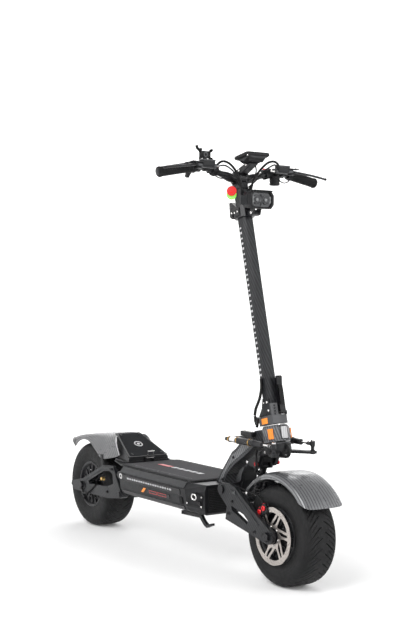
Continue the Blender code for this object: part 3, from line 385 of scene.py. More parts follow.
def facing(at, direction):
    """Placement with local Z along a direction."""
    return Matrix.Translation(at) @ Vector(direction).to_track_quat("Z", "Y").to_matrix().to_4x4()


def rod(start, end, radius, segments=24, end_radius=None):
    """A round bar from start to end, tapered where end_radius is given."""
    start, end = Vector(start), Vector(end)
    length = (end - start).length
    top = radius if end_radius is None else end_radius
    return turned([(0, 0), (radius, 0), (top, length), (0, length)], segments, facing(start, end - start))


def block(centre, size, place=None):
    """A box about a centre."""
    bm = bmesh.new()
    bmesh.ops.create_cube(bm, size=1.0)
    bm.transform(Matrix.Translation(centre) @ Matrix.Diagonal((*size, 1.0)))
    return done(bm, place)


def bolt_head(at, direction, radius, height, sides=24, socket=True):
    """A cap screw's head with a hexagon socket, or a hexagon head when sides is 6."""
    inner = radius * 0.52
    profile = [(0, 0), (radius, 0), (radius, height * 0.82), (radius * 0.88, height), (inner, height)]
    if socket:
        profile += [(inner * 0.94, height * 0.45), (0, height * 0.45)]
    else:
        profile += [(0, height * 1.05)]
    return turned(profile, sides, facing(at, direction))


def merged(*parts):
    """One bmesh from several, which it uses up."""
    target = bmesh.new()
    for part in parts:
        mesh = bpy.data.meshes.new("part")
        part.to_mesh(mesh)
        part.free()
        target.from_mesh(mesh)
        bpy.data.meshes.remove(mesh)
    return target


def mesh_of(name, bm):
    """A mesh from a bmesh, which it uses up."""
    mesh = bpy.data.meshes.new(name)
    bm.to_mesh(mesh)
    bm.free()
    return mesh


def linked(name, data):
    """A new object in the scene."""
    obj = bpy.data.objects.new(name, data)
    bpy.context.scene.collection.objects.link(obj)
    return obj


def put(name, bm, look, body, replaces=(), **finish):
    """A piece from a bmesh, finished as put_mesh does."""
    return put_mesh(name, mesh_of(name, bm), look, body, replaces, **finish)


def put_mesh(name, mesh, look, body, replaces=(), bevel=0.0, segments=2, smooth=35, cut=None):
    """A finished piece: smooth shading, an optional cut, rounded edges, its material and its body."""
    mesh.shade_smooth()
    mesh.set_sharp_from_angle(angle=radians(smooth))
    mesh.materials.append(look)
    obj = linked(name, mesh)
    if cut:
        apply_cut(obj, cut)
    if bevel:
        add_bevel(obj, bevel, segments, smooth)
    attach(obj, body)
    if replaces:
        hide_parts(*replaces)
    return obj


def add_bevel(obj, width, segments=2, angle=35):
    """Rounds the edges sharper than an angle in degrees."""
    edge = obj.modifiers.new("bevel", "BEVEL")
    edge.width = width
    edge.segments = segments
    edge.limit_method = "ANGLE"
    edge.angle_limit = radians(angle)
    edge.harden_normals = True


def evaluated_mesh(obj):
    """The object's mesh with its modifiers applied."""
    bpy.context.view_layer.update()
    return bpy.data.meshes.new_from_object(obj.evaluated_get(bpy.context.evaluated_depsgraph_get()))


def apply_cut(obj, shape):
    """Cuts a shape out of an object and keeps the result as its mesh."""
    tool = linked("cutter", mesh_of("cutter", shape))
    boolean = obj.modifiers.new("cut", "BOOLEAN")
    boolean.operation = "DIFFERENCE"
    boolean.object = tool
    boolean.solver = "EXACT"
    result = evaluated_mesh(obj)
    look = obj.data.materials[0]
    obj.modifiers.clear()
    obj.data = result
    result.materials.clear()
    result.materials.append(look)
    result.shade_smooth()
    result.set_sharp_from_angle(angle=radians(35))
    bpy.data.objects.remove(tool, do_unlink=True)


def bolt_heads(name, look, body, heads, smooth=30):
    """One piece from several bolt heads, each given as bolt_head's values."""
    return put(name, merged(*[bolt_head(*head) for head in heads]), look, body, smooth=smooth)


def outward(place, direction=(0, 0, 1)):
    """A local direction of a placement, in the scene."""
    return place.to_3x3() @ Vector(direction)


def dress(node, look, bevel=0.0, segments=2, angle=40):
    """A CAD node kept as it is, with its material and its edges rounded."""
    obj = nodes[node]
    if not obj.material_slots:
        obj.data.materials.append(look)
    for slot in obj.material_slots:
        slot.material = look
    if bevel:
        flat = obj.modifiers.new("merge_flats", "DECIMATE")
        flat.decimate_type = "DISSOLVE"
        flat.angle_limit = radians(1.5)
        add_bevel(obj, bevel, segments, angle)


def smooth_route(route, step):
    """Points about a step apart on a smooth curve through a route."""
    route = [Vector(p) for p in route]
    ends = [2 * route[0] - route[1]] + route + [2 * route[-1] - route[-2]]
    points = [route[0]]
    for a, b, c, d in zip(ends, ends[1:], ends[2:], ends[3:]):
        count = max(1, round((c - b).length / step))
        for k in range(1, count + 1):
            t = k / count
            points.append(0.5 * (2 * b + (c - a) * t + (2 * a - 5 * b + 4 * c - d) * t * t
                                 + (3 * b - a - 3 * c + d) * t ** 3))
    return points


def tube(points, radius, sides=12):
    """A round tube along points."""
    rings = []
    side = None
    for i, p in enumerate(points):
        ahead = points[min(i + 1, len(points) - 1)]
        behind = points[max(i - 1, 0)]
        along = (ahead - behind).normalized()
        if side is None:
            side = along.orthogonal().normalized()
        side = (side - along * side.dot(along)).normalized()
        other = along.cross(side)
        rings.append([p + (side * x + other * y) * radius for x, y in circle(0, 0, 1, sides)])
    return loft(rings)


def hose(name, body, radius, *route):
    """A rubber hose along a smooth curve through a route."""
    put(name, tube(smooth_route(route, radius * 2.2), radius), HOSE, body)


def sheet_shape(name, outlines, thickness, look, body, place, replaces=(), bevel=0.0002):
    """A flat plate from closed outlines in (x, y): the first is its edge, the others its holes."""
    curve = bpy.data.curves.new(name, "CURVE")
    curve.dimensions = "2D"
    curve.fill_mode = "BOTH"
    curve.extrude = thickness / 2 - bevel
    curve.bevel_depth = bevel
    curve.bevel_resolution = 1
    for outline in outlines:
        spline = curve.splines.new("POLY")
        spline.points.add(len(outline) - 1)
        for spot, (x, y) in zip(spline.points, outline):
            spot.co = (x, y, 0, 1)
        spline.use_cyclic_u = True
    holder = linked(name, curve)
    mesh = evaluated_mesh(holder)
    bpy.data.objects.remove(holder, do_unlink=True)
    mesh.transform(place)
    mesh.materials.clear()
    return put_mesh(name, mesh, look, body, replaces)


def circle(cx, cy, radius, count=24):
    """Points evenly spaced round a circle."""
    return [(cx + radius * cos(2 * pi * k / count), cy + radius * sin(2 * pi * k / count))
            for k in range(count)]


def polar(base, *points):
    """Points given by radius and by angle past a base angle."""
    return [(r * cos(radians(base + a)), r * sin(radians(base + a))) for r, a in points]


def wheel_place(end, y=0.0):
    """Local Z turned to +Y at a wheel's centre."""
    return Matrix.Translation((WHEEL_X[end], y, TYRE_R)) @ Matrix.Rotation(-pi / 2, 4, "X")


# ---------------------------------------------------------------- CAD nodes that stay
for node, look, width in (("deck_shell", BLACK, 0.0016), ("deck_plate", BLACK, 0.0006),
                          ("battery_pack", PLASTIC, 0.0), ("motor_controller", ANODISED, 0.0),
                          ("neck", CARBON, 0.003), ("head_tube", ANODISED, 0.0008),
                          ("head_cover", CARBON_HEAD, 0.002), ("turn_light_right", AMBER, 0.0),
                          ("turn_light_left", AMBER, 0.0), ("rear_pivot_pin", ANODISED, 0.0008),
                          ("kickstand", BLACK, 0.0016), ("stem_catch", CHROME, 0.0), ("fork", BLACK, 0.002),
                          ("front_pivot_pin", ANODISED, 0.001), ("stem_tube", CARBON_STEM, 0.0012),
                          ("stem_collar", ANODISED, 0.0012), ("bar_hoses", HOSE, 0.0),
                          ("fold_lever", GLOSS, 0.0014), ("front_panel", SOFT, 0.0005),
                          ("kick_plate", BLACK, 0.0016), ("fold_base", GREY_METAL, 0.0016)):
    dress(node, look, width)
for end in WHEEL_X:
    for part, look, width in (("swingarm", CARBON_ARM, 0.0016), ("shock_body", ANODISED, 0.0008),
                              ("shock_rod", CHROME, 0.0006), ("axle", ANODISED, 0.0007)):
        dress(f"{end}_{part}", look, width)
for node, look, width in (("switch_pod", PLASTIC, 0.0016), ("throttle", PLASTIC, 0.0012),
                          ("mode_button", RED, 0.0006)):
    dress(node, look, width, segments=3)


# ---------------------------------------------------------------- wheels
TREAD_PITCHES = 30


def tyre_profile():
    """Half section of the tyre from the crown to the bead, as (radius, side offset)."""
    key = [(0.165, 0.0), (0.1648, 0.02), (0.164, 0.034), (0.1612, 0.0475), (0.154, 0.057), (0.144, 0.0622),
           (0.131, 0.0635), (0.118, 0.0628), (0.106, 0.0605), (0.096, 0.057), (0.089, 0.054), (0.086, 0.05)]
    points = smooth_route([(r, s, 0) for r, s in key], 0.0016)
    return [(min(p.x, TYRE_R), p.y) for p in points]


def groove_depth(turn, side, reach):
    """Depth of the tread at an angle and a distance from the middle, along the tyre's surface."""
    pitch = 2 * pi / TREAD_PITCHES
    depth = 0.0
    sweep = 1.55 * pitch * (reach / 0.062) ** 1.35
    for mark, width, start, end, deep in ((0.0, 0.0034, 0.0045, 0.056, 0.0034),
            (0.5, 0.0022, 0.018, 0.05, 0.0026)):
        phase = (turn - sweep - mark * pitch + (0.5 * pitch if side < 0 else 0.0)) / pitch
        away = abs(phase - round(phase)) * pitch * TYRE_R
        if start < reach < end:
            fade = min(1.0, (reach - start) / 0.004, (end - reach) / 0.006)
            edge = width / 2 * (0.55 + 0.45 * fade)
            depth = max(depth, deep * fade * min(1.0, max(0.0, (edge + 0.0006 - away) / 0.0012)))
    lug = (turn - sweep * 1.02) / (pitch / 2)
    away = abs(lug - round(lug)) * pitch / 2 * TYRE_R
    if 0.058 < reach < 0.068:
        fade = min(1.0, (reach - 0.058) / 0.003, (0.068 - reach) / 0.003)
        depth = max(depth, 0.0014 * fade * min(1.0, max(0.0, (0.002 - away) / 0.0012)))
    return depth


def tyre(end):
    """Fat tyre: directional curved grooves, shoulder cuts, smooth walls with fine rings."""
    half = tyre_profile()
    reach = [0.0]
    for (r0, s0), (r1, s1) in zip(half, half[1:]):
        reach.append(reach[-1] + sqrt((r1 - r0) ** 2 + (s1 - s0) ** 2))
    section = [(r, -s, d, -1) for (r, s), d in reversed(list(zip(half, reach)))]
    section += [(r, s, d, 1) for (r, s), d in list(zip(half, reach))[1:]]
    around = 900
    bm = bmesh.new()
    rings = []
    for k in range(around):
        turn = 2 * pi * k / around
        ring = []
        for radius, y, d, side in section:
            wall = 0.0005 * max(0.0, sin(d * 700)) ** 6 if d > 0.078 else 0.0
            r = radius - groove_depth(turn, side, d) + wall * 0.3
            ring.append(bm.verts.new((r * cos(turn), r * sin(turn), y + wall * side)))
        for y in (0.046, -0.046):
            ring.append(bm.verts.new((0.0846 * cos(turn), 0.0846 * sin(turn), y)))
        rings.append(ring)
    count = len(rings[0])
    for k in range(around):
        a, b = rings[k], rings[(k + 1) % around]
        for i in range(count):
            j = (i + 1) % count
            bm.faces.new((a[i], a[j], b[j], b[i]))
    flip = Matrix.Rotation(pi, 4, "X") if end == "rear" else Matrix.Identity(4)
    done(bm, wheel_place(end) @ flip)
    put(f"{end}_tyre_tread", bm, TYRE, f"{end}_wheel", [f"{end}_tyre"], smooth=40)


def hub(end):
    """Hub motor in its rim: dished, ribbed on both faces, with cover bolts and a valve."""
    body = f"{end}_wheel"
    place = wheel_place(end)
    dish = [(0.012, 0.07), (0.032, 0.07), (0.0345, 0.068), (0.036, 0.056), (0.0385, 0.05), (0.045, 0.0462),
            (0.07, 0.044), (0.0765, 0.047), (0.08, 0.0535), (0.0825, 0.056), (0.0885, 0.0566), (0.09, 0.0556),
            (0.0896, 0.0548), (0.0842, 0.05)]
    profile = dish + [(r, -y) for r, y in reversed(dish)]
    parts = [turned(profile, 96, place)]
    for side in (-1, 1):
        for k in range(16):
            turn = Matrix.Rotation(2 * pi * k / 16, 4, "Z")
            rib = [(0.037, 0.045), (0.037, 0.058), (0.042, 0.053), (0.068, 0.049), (0.078, 0.05),
                   (0.078, 0.044), (0.06, 0.043)]
            parts.append(loft([[(r, off, side * y) for r, y in rib] for off in (-0.0016, 0.0016)],
                              place @ turn))
    put(f"{end}_hub_rim", merged(*parts), ANODISED, body, [f"{end}_hub"], bevel=0.0005, segments=1, smooth=30)
    angles = [2 * pi * (k + 0.5) / 8 for k in range(8)]
    bolt_heads(f"{end}_hub_bolts", CHROME, body,
               [(place @ Vector((0.0565 * cos(a), 0.0565 * sin(a), side * 0.0452)), (0, side, 0), 0.0032,
                 0.0026, 16) for side in (-1, 1) for a in angles])
    far = 1 if end == "front" else -1
    stem_at = place @ Vector((0.08 * cos(2.2), 0.08 * sin(2.2), far * 0.0545))
    put(f"{end}_valve", rod(stem_at, stem_at + Vector((0, far * 0.011, 0.002)), 0.003, 16, 0.0024), SOFT,
        body)


def rotor(end):
    """Brake disc with vent holes in its ring and arms to the middle, on a black carrier."""
    body = f"{end}_wheel"
    place = wheel_place(end, ROTOR_Y[end])
    turns = [2 * pi * k / 192 for k in range(192)]
    outlines = [[((0.092 + 0.0006 * cos(a * 12)) * cos(a), (0.092 + 0.0006 * cos(a * 12)) * sin(a))
                 for a in turns]]
    outlines.append(circle(0, 0, 0.0265, 48))
    for k in range(6):
        base = 60 * k
        outlines.append(polar(base, (0.076, 2), (0.0768, 12), (0.0768, 22), (0.0768, 32), (0.076, 43),
                              (0.06, 36), (0.048, 25), (0.0395, 12), (0.04, 3), (0.056, 1)))
        outlines.append(polar(base, (0.075, 49), (0.0756, 55), (0.056, 54), (0.044, 50), (0.036, 37),
                              (0.0365, 28), (0.048, 36), (0.06, 45)))
    for row, (radius, shift) in enumerate(((0.08, 0.0), (0.0836, 0.5), (0.0872, 0.0))):
        for k in range(30):
            a = 2 * pi * (k + shift + row * 0.18) / 30
            outlines.append(circle(radius * cos(a), radius * sin(a), 0.0015, 10))
    sheet_shape(f"{end}_rotor_disc", outlines, 0.0022, STEEL, body, place, [f"{end}_rotor"])
    side = 1 if ROTOR_Y[end] > 0 else -1
    carrier = turned([(r, w * side) for r, w in ((0.012, 0.0706), (0.0345, 0.0706), (0.0345, 0.0732),
            (0.0255, 0.0732), (0.0255, 0.0765), (0.012, 0.0765))], 48, wheel_place(end))
    put(f"{end}_rotor_carrier", carrier, ANODISED, body, bevel=0.0004, segments=1)
    screw_place = wheel_place(end, side * 0.0757)
    bolt_heads(f"{end}_rotor_screws", CHROME, body,
               [(screw_place @ Vector((0.0305 * cos(a), 0.0305 * sin(a), 0)), (0, side, 0), 0.0034, 0.0022,
                 16) for a in [2 * pi * (k + 0.25) / 6 for k in range(6)]])


def caliper(end):
    """Two-piston caliper over the disc's edge, its two red bolts, pads and hose fitting."""
    body = f"{end}_arm"
    side = -1 if end == "front" else 1
    lean = radians(124 if end == "front" else 60)
    place = Matrix.Translation((WHEEL_X[end], 0, TYRE_R)) @ Matrix.Rotation(-lean, 4, "Y")
    rotor_y = abs(ROTOR_Y[end])
    cheek_in = [(0.0655, 0.076), (rotor_y - 0.0032, 0.073), (rotor_y - 0.0032, 0.096), (0.0655, 0.1055)]
    cheek_out = [(rotor_y + 0.0032, 0.073), (0.0808, 0.076), (0.0808, 0.104), (rotor_y + 0.0032, 0.1055)]
    parts = []
    for shape in (cheek_in, cheek_out):
        rings = []
        for along, grow in ((-0.027, -0.006), (-0.022, 0.0), (0.022, 0.0), (0.027, -0.006)):
            rings.append([(min(r, 0.1055 + grow) if r > 0.09 else r - grow * 0.6, side * y, along)
                          for y, r in shape])
        parts.append(loft(rings, place))
    bridge = ((0.0655, 0.0955), (0.0808, 0.0955), (0.079, 0.1065), (0.068, 0.1065))
    parts += [loft([[(r, side * y, along) for y, r in bridge] for along in ends], place)
              for ends in ((-0.02, -0.007), (0.007, 0.02))]
    put(f"{end}_caliper_body", merged(*parts), BLACK, body, [f"{end}_caliper"], bevel=0.0012)
    pads = [loft([[(r, side * y, along) for y, r in ((y0, 0.076), (y0 + 0.0016, 0.076), (y0 + 0.0016, 0.098),
            (y0, 0.098))] for along in (-0.014, 0.014)], place) for y0 in (rotor_y - 0.003, rotor_y + 0.0014)]
    put(f"{end}_brake_pads", merged(*pads), STEEL, body)
    bolt_heads(f"{end}_caliper_bolts", RED, body,
               [(place @ Vector((0.1035, side * 0.0735, along)), outward(place, (1, 0, 0)), 0.0046, 0.005)
                for along in (-0.0135, 0.0135)])
    cap = [(0, 0), (0.0086, 0), (0.009, 0.0008), (0.009, 0.003), (0.0078, 0.0042), (0.004, 0.0042),
           (0.0036, 0.0026), (0, 0.0026)]
    faces = [turned(cap, 32, facing(place @ Vector((0.0925, side * 0.0803, along)), (0, side, 0)))
             for along in (-0.0125, 0.0125)]
    put(f"{end}_caliper_caps", merged(*faces), RED, body, smooth=30)
    joint = place @ Vector((0.1, side * 0.066, 0.0))
    banjo = turned([(0, -0.003), (0.0056, -0.003), (0.0056, 0.003), (0, 0.003)], 24,
                   facing(joint + Vector((0, side * -0.001, 0.005)), (0, 0, 1)))
    put(f"{end}_hose_fitting", banjo, CHROME, body, bevel=0.0006)


for wheel_end in WHEEL_X:
    tyre(wheel_end)
    hub(wheel_end)
    rotor(wheel_end)
    caliper(wheel_end)


# ---------------------------------------------------------------- deck
def lean_place(x, side, z, out=0.0):
    """Local X along the deck, Z out of its leaning side wall."""
    y = 0.141 + 0.009 * (z - 0.208) / 0.058
    tilt = atan2(0.009, 0.058)
    normal = Vector((0, side * cos(tilt), -sin(tilt)))
    at = Vector((x, side * y, z)) + normal * out
    across = Vector((1, 0, 0)) if side > 0 else Vector((-1, 0, 0))
    up = normal.cross(across)
    return Matrix.Translation(at) @ Matrix((across, up, normal)).transposed().to_4x4()


def corner_place(side, share, z, out=0.0):
    """Local Z out of the cut front corner of the deck, X along it."""
    a, b = Vector((0.211, side * 0.1495, z)), Vector((0.296, side * 0.1255, z))
    along = (b - a).normalized()
    normal = Vector((abs(along.y), side * along.x, -0.15)).normalized()
    across = along if side < 0 else -along
    across = (across - normal * across.dot(normal)).normalized()
    up = normal.cross(across)
    return Matrix.Translation(a.lerp(b, share) + normal * out) @ Matrix((across, up,
            normal)).transposed().to_4x4()


def plate(outline, low, high, place):
    """An outline in local (x, y) raised from low to high along local Z."""
    return loft([[(x, y, z) for x, y in outline] for z in (low, high)], place)


def rounded(width, height, radius, count=5):
    """A rounded rectangle about the origin."""
    points = []
    for cx, cy, start in ((1, 1, 0), (-1, 1, 90), (-1, -1, 180), (1, -1, 270)):
        for k in range(count):
            a = radians(start + 90 * k / (count - 1))
            points.append((cx * (width / 2 - radius) + radius * cos(a),
                           cy * (height / 2 - radius) + radius * sin(a)))
    return points


def deck_side(side, name):
    """Strip, marks, lamp, label, shoulder, badge and sill on one side of the deck."""
    strip = plate(rounded(0.374, 0.0205, 0.0035), -0.0004, 0.0018, lean_place(-0.007, side, 0.2525))
    put(f"side_strip_{name}", strip, GLOSS, "frame", bevel=0.0005)
    marks = [plate(rounded(0.0085 + 0.004 * (k % 3 == 0), 0.0062, 0.0012, 3), 0.0015, 0.0022,
                   lean_place(-0.165 + 0.0158 * k, side, 0.2527)) for k in range(19)]
    put(f"side_marks_{name}", merged(*marks), PALE, "frame")
    lamp = plate(rounded(0.15, 0.015, 0.004), -0.0004, 0.0014, lean_place(0.033, side, 0.2245))
    put(f"side_lamp_{name}", lamp, GLOSS, "frame", bevel=0.0004)
    outlines = []
    for at, half in ((0.0, 0.025), (0.058, 0.028)):
        for x0, x1, y0, y1 in ((-half, half, 0.0038, 0.0052), (-half, half, -0.0052, -0.0038),
                               (-half, -half + 0.0014, -0.004, 0.004), (half - 0.0014, half, -0.004, 0.004)):
            outlines.append(plate([(x0, y0), (x1, y0), (x1, y1), (x0, y1)], 0.001, 0.0018,
                                  lean_place(at, side, 0.2245)))
    put(f"side_lamp_outline_{name}", merged(*outlines), RED_PRINT, "frame")
    slant = [(-side * x, y) for x, y in ((-0.017, -0.0085), (-0.002, -0.0085), (0.017, 0.0085),
            (0.002, 0.0085))]
    put(f"slanted_label_{name}", plate(slant, -0.0003, 0.002, lean_place(-0.064, side, 0.2245)), ORANGE,
        "frame")
    shoulder = loft([[(x, side * y, z) for y, z in ((0.1338, 0.288), (0.1497, 0.2685), (0.1507, 0.2693),
            (0.1347, 0.2889))] for x in (-0.222, -0.05, 0.12, 0.203)])
    put(f"shoulder_panel_{name}", shoulder, FRAME_GREY, "frame", bevel=0.0004, segments=1)
    badge = plate([(-0.03, 0.0), (-0.01, 0.015), (0.018, 0.013), (0.03, 0.0), (0.016, -0.015),
                   (-0.012, -0.013)], 0.0, 0.0042, lean_place(-0.215, side, 0.256, -0.0025))
    put(f"badge_plate_{name}", badge, ANODISED, "frame", bevel=0.001)
    ring = turned([(0.0058, 0.0), (0.0098, 0.0), (0.0098, 0.002), (0.0086, 0.0027), (0.007, 0.0027),
                   (0.0058, 0.0018)], 40, lean_place(-0.213, side, 0.256, 0.0016))
    put(f"badge_ring_{name}", ring, CHROME, "frame")
    lower = loft([[(x, side * y, z) for y, z in ((0.1328, 0.1935), (0.1398, 0.2055), (0.1412, 0.2048),
            (0.134, 0.1925))] for x in (-0.215, 0.195)])
    put(f"sill_trim_{name}", lower, GLOSS, "frame")


def corner_pocket(side, name):
    """Sunk panel on a cut front corner, with its charge port, square port and screws."""
    pocket = [(-side * x, y) for x, y in ((-0.04, -0.024), (0.034, -0.03), (0.037, 0.012), (0.002, 0.02),
            (-0.026, 0.006))]
    put(f"corner_pocket_{name}", plate(pocket, -0.002, 0.0022, corner_place(side, 0.5, 0.24)), PLASTIC,
        "frame", bevel=0.0012)
    port = corner_place(side, 0.5, 0.246, 0.002)
    rim = turned([(0.0075, 0.0), (0.012, 0.0), (0.012, 0.0035), (0.0108, 0.0048), (0.0088, 0.0048),
                  (0.0075, 0.0036)], 48, port)
    put(f"port_ring_{name}", rim, CHROME, "frame")
    cap = turned([(0, 0.0), (0.0073, 0.0), (0.0073, 0.0028), (0.005, 0.0034), (0, 0.0034)], 32, port)
    put(f"port_cap_{name}", cap, SOFT, "frame")
    socket = plate(rounded(0.015, 0.012, 0.003), 0.0, 0.004, corner_place(side, 0.76, 0.227, 0.002))
    put(f"square_port_{name}", socket, GLOSS, "frame", bevel=0.0008)
    bolt_heads(f"pocket_screws_{name}", CHROME, "frame",
               [(corner_place(side, s, z, 0.002).translation, outward(corner_place(side, s, z)), 0.003,
                 0.0018, 20) for s, z in ((0.14, 0.222), (0.86, 0.215), (0.86, 0.247))])


def deck_mat():
    """Soft border, grip mat and the plain marks printed on it."""
    outline = []
    for cx, cy, start in ((0.222, 0.1295, 0), (-0.252, 0.1295, 90), (-0.252, -0.1295, 180),
                          (0.222, -0.1295, 270)):
        for k in range(7):
            a = radians(start + 15 * k)
            outline.append((cx + (-0.016 if cx > 0 else 0.016) + 0.016 * cos(a),
                            cy + (-0.016 if cy > 0 else 0.016) + 0.016 * sin(a)))
    border = loft([[(x, y, z) for x, y in outline] for z in (0.2911, MAT_TOP - 0.0012)])
    put("mat_border", border, SOFT, "frame", bevel=0.0006)
    inset = [(x - 0.0055 * (1 if x > 0 else -1), y - 0.0055 * (1 if y > 0 else -1)) for x, y in outline]
    top = loft([[(x, y, z) for x, y in inset] for z in (0.2912, MAT_TOP + 0.0004)])
    put("deck_grip_mat", top, MAT, "frame", ["deck_mat"], bevel=0.001)
    lines = [block((-0.015, y, MAT_TOP + 0.0006), (0.4, 0.0016, 0.0007)) for y in (-0.104, 0.104)]
    for k in range(4):
        for s in (-1, 1):
            turn = Matrix.Translation((-0.17 + 0.075 * k, s * 0.112,
                    MAT_TOP + 0.0006)) @ Matrix.Rotation(s * 0.9, 4, "Z")
            lines.append(block((0, 0, 0), (0.02, 0.0016, 0.0007), turn))
    put("mat_lines", merged(*lines), DIM, "frame")
    print_low, print_high = MAT_TOP + 0.0003, MAT_TOP + 0.001
    stripe = [(0.02, 0.012), (0.094, 0.012), (0.102, 0.03), (0.028, 0.03)]
    put("mat_stripe", plate(stripe, print_low, print_high, Matrix.Translation((-0.19, -0.03, 0))), RED_PRINT,
        "frame")
    bars = [plate([(x, -0.009), (x + 0.026, -0.009), (x + 0.033, 0.009), (x + 0.007, 0.009)], print_low,
                  print_high, Matrix.Translation((0, -0.009, 0))) for x in (-0.08, -0.04, 0.0, 0.04, 0.08)]
    put("mat_bars", merged(*bars), PALE, "frame")


def deck():
    """Everything added to the deck."""
    for side, name in SIDES:
        deck_side(side, name)
        corner_pocket(side, name)
    tab = plate(rounded(0.02, 0.026, 0.004), 0.0, 0.003, lean_place(0.182, -1, 0.224))
    put("port_tab", tab, SOFT, "frame", bevel=0.0008)

    ribs = [prism([(0.2958, z), (0.299, z + 0.0006), (0.3008, z + 0.002), (0.299, z + 0.0034),
                   (0.2958, z + 0.004)], -0.109, 0.109) for z in [0.2 + 0.0058 * k for k in range(13)]]
    put("front_grille", merged(*ribs), PLASTIC, "frame", bevel=0.0004, segments=1)
    deck_mat()


def kick_plate():
    """Rim, grip pad, ring mark and screws on the sloping kick plate."""
    place = Matrix.Translation((-0.34, 0, 0.347)) @ Matrix.Rotation(atan2(0.074, 0.156), 4, "Y")
    half = 0.0845
    shape = [(-half, -0.05), (-half, 0.05), (-half + 0.006, 0.0545), (half - 0.006, 0.0865), (half, 0.082),
             (half, -0.082), (half - 0.006, -0.0865), (-half + 0.006, -0.0545)]
    rim = plate(shape, -0.0015, 0.004, place)
    inner = [(x * 0.925, y * 0.905) for x, y in shape]
    put("kick_plate_rim", rim, BLACK, "frame", bevel=0.0012)
    put("kick_plate_pad", plate(inner, 0.003, 0.0052, place), KICK, "frame", bevel=0.0008)
    ring = turned([(0.013, 0.0048), (0.0175, 0.0048), (0.0175, 0.006), (0.0165, 0.0068), (0.014, 0.0068),
                   (0.013, 0.006)], 48, place)
    put("kick_plate_ring", ring, PALE, "frame")
    dot = turned([(0, 0.0048), (0.0062, 0.0048), (0.0062, 0.006), (0.005, 0.0066), (0, 0.0066)], 32, place)
    put("kick_plate_dot", dot, PALE, "frame")
    bolt_heads("kick_plate_screws", ANODISED, "frame",
               [(place @ Vector((x, y, 0.0048)), outward(place), 0.0042, 0.0024)
                for x, y in ((0.068, 0.065), (0.068, -0.065), (-0.068, 0.042), (-0.068, -0.042))])


# ---------------------------------------------------------------- fenders
SECTION = [(-1.0, 1.0), (-0.992, 0.8), (-0.975, 0.55), (-0.945, 0.34), (-0.885, 0.19), (-0.78, 0.095),
           (-0.6, 0.035), (-0.32, 0.006), (0.0, 0.0), (0.32, 0.006), (0.6, 0.035), (0.78, 0.095),
           (0.885, 0.19), (0.945, 0.34), (0.975, 0.55), (0.992, 0.8), (1.0, 1.0)]


def spread(keys, count):
    """Count evenly stepped stations on a smooth curve through keyed rows of numbers."""
    made = []
    for i in range(count):
        t = i / (count - 1) * (len(keys) - 1)
        k = min(int(t), len(keys) - 2)
        f = t - k
        a, b, c, d = (keys[max(0, min(len(keys) - 1, k + o))] for o in (-1, 0, 1, 2))
        made.append(tuple(0.5 * (2 * q + (r - p) * f + (2 * p - 5 * q + 4 * r - s) * f * f
                                 + (3 * q - p - 3 * r + s) * f ** 3) for p, q, r, s in zip(a, b, c, d)))
    return made


def fender_rings(end, stations, half=0.0802, wall=0.0026):
    """Closed sections of a shell, from its crown and edge points at each station."""
    rings = []
    ax = WHEEL_X[end]
    for cx, cz, ex, ez in stations:
        outer, inner = [], []
        for side, drop in SECTION:
            x, z = cx + (ex - cx) * drop, cz + (ez - cz) * drop
            if end == "rear" and abs(side) < 0.7:
                x = min(x, -0.434)
            towards = Vector((ax - x, 0, TYRE_R - z)).normalized() * wall * (1 - abs(drop) * 0.6)
            outer.append((x, side * half, z))
            inner.append((x + towards.x, side * (half - wall), z + towards.z))
        rings.append(outer + inner[::-1])
    return rings


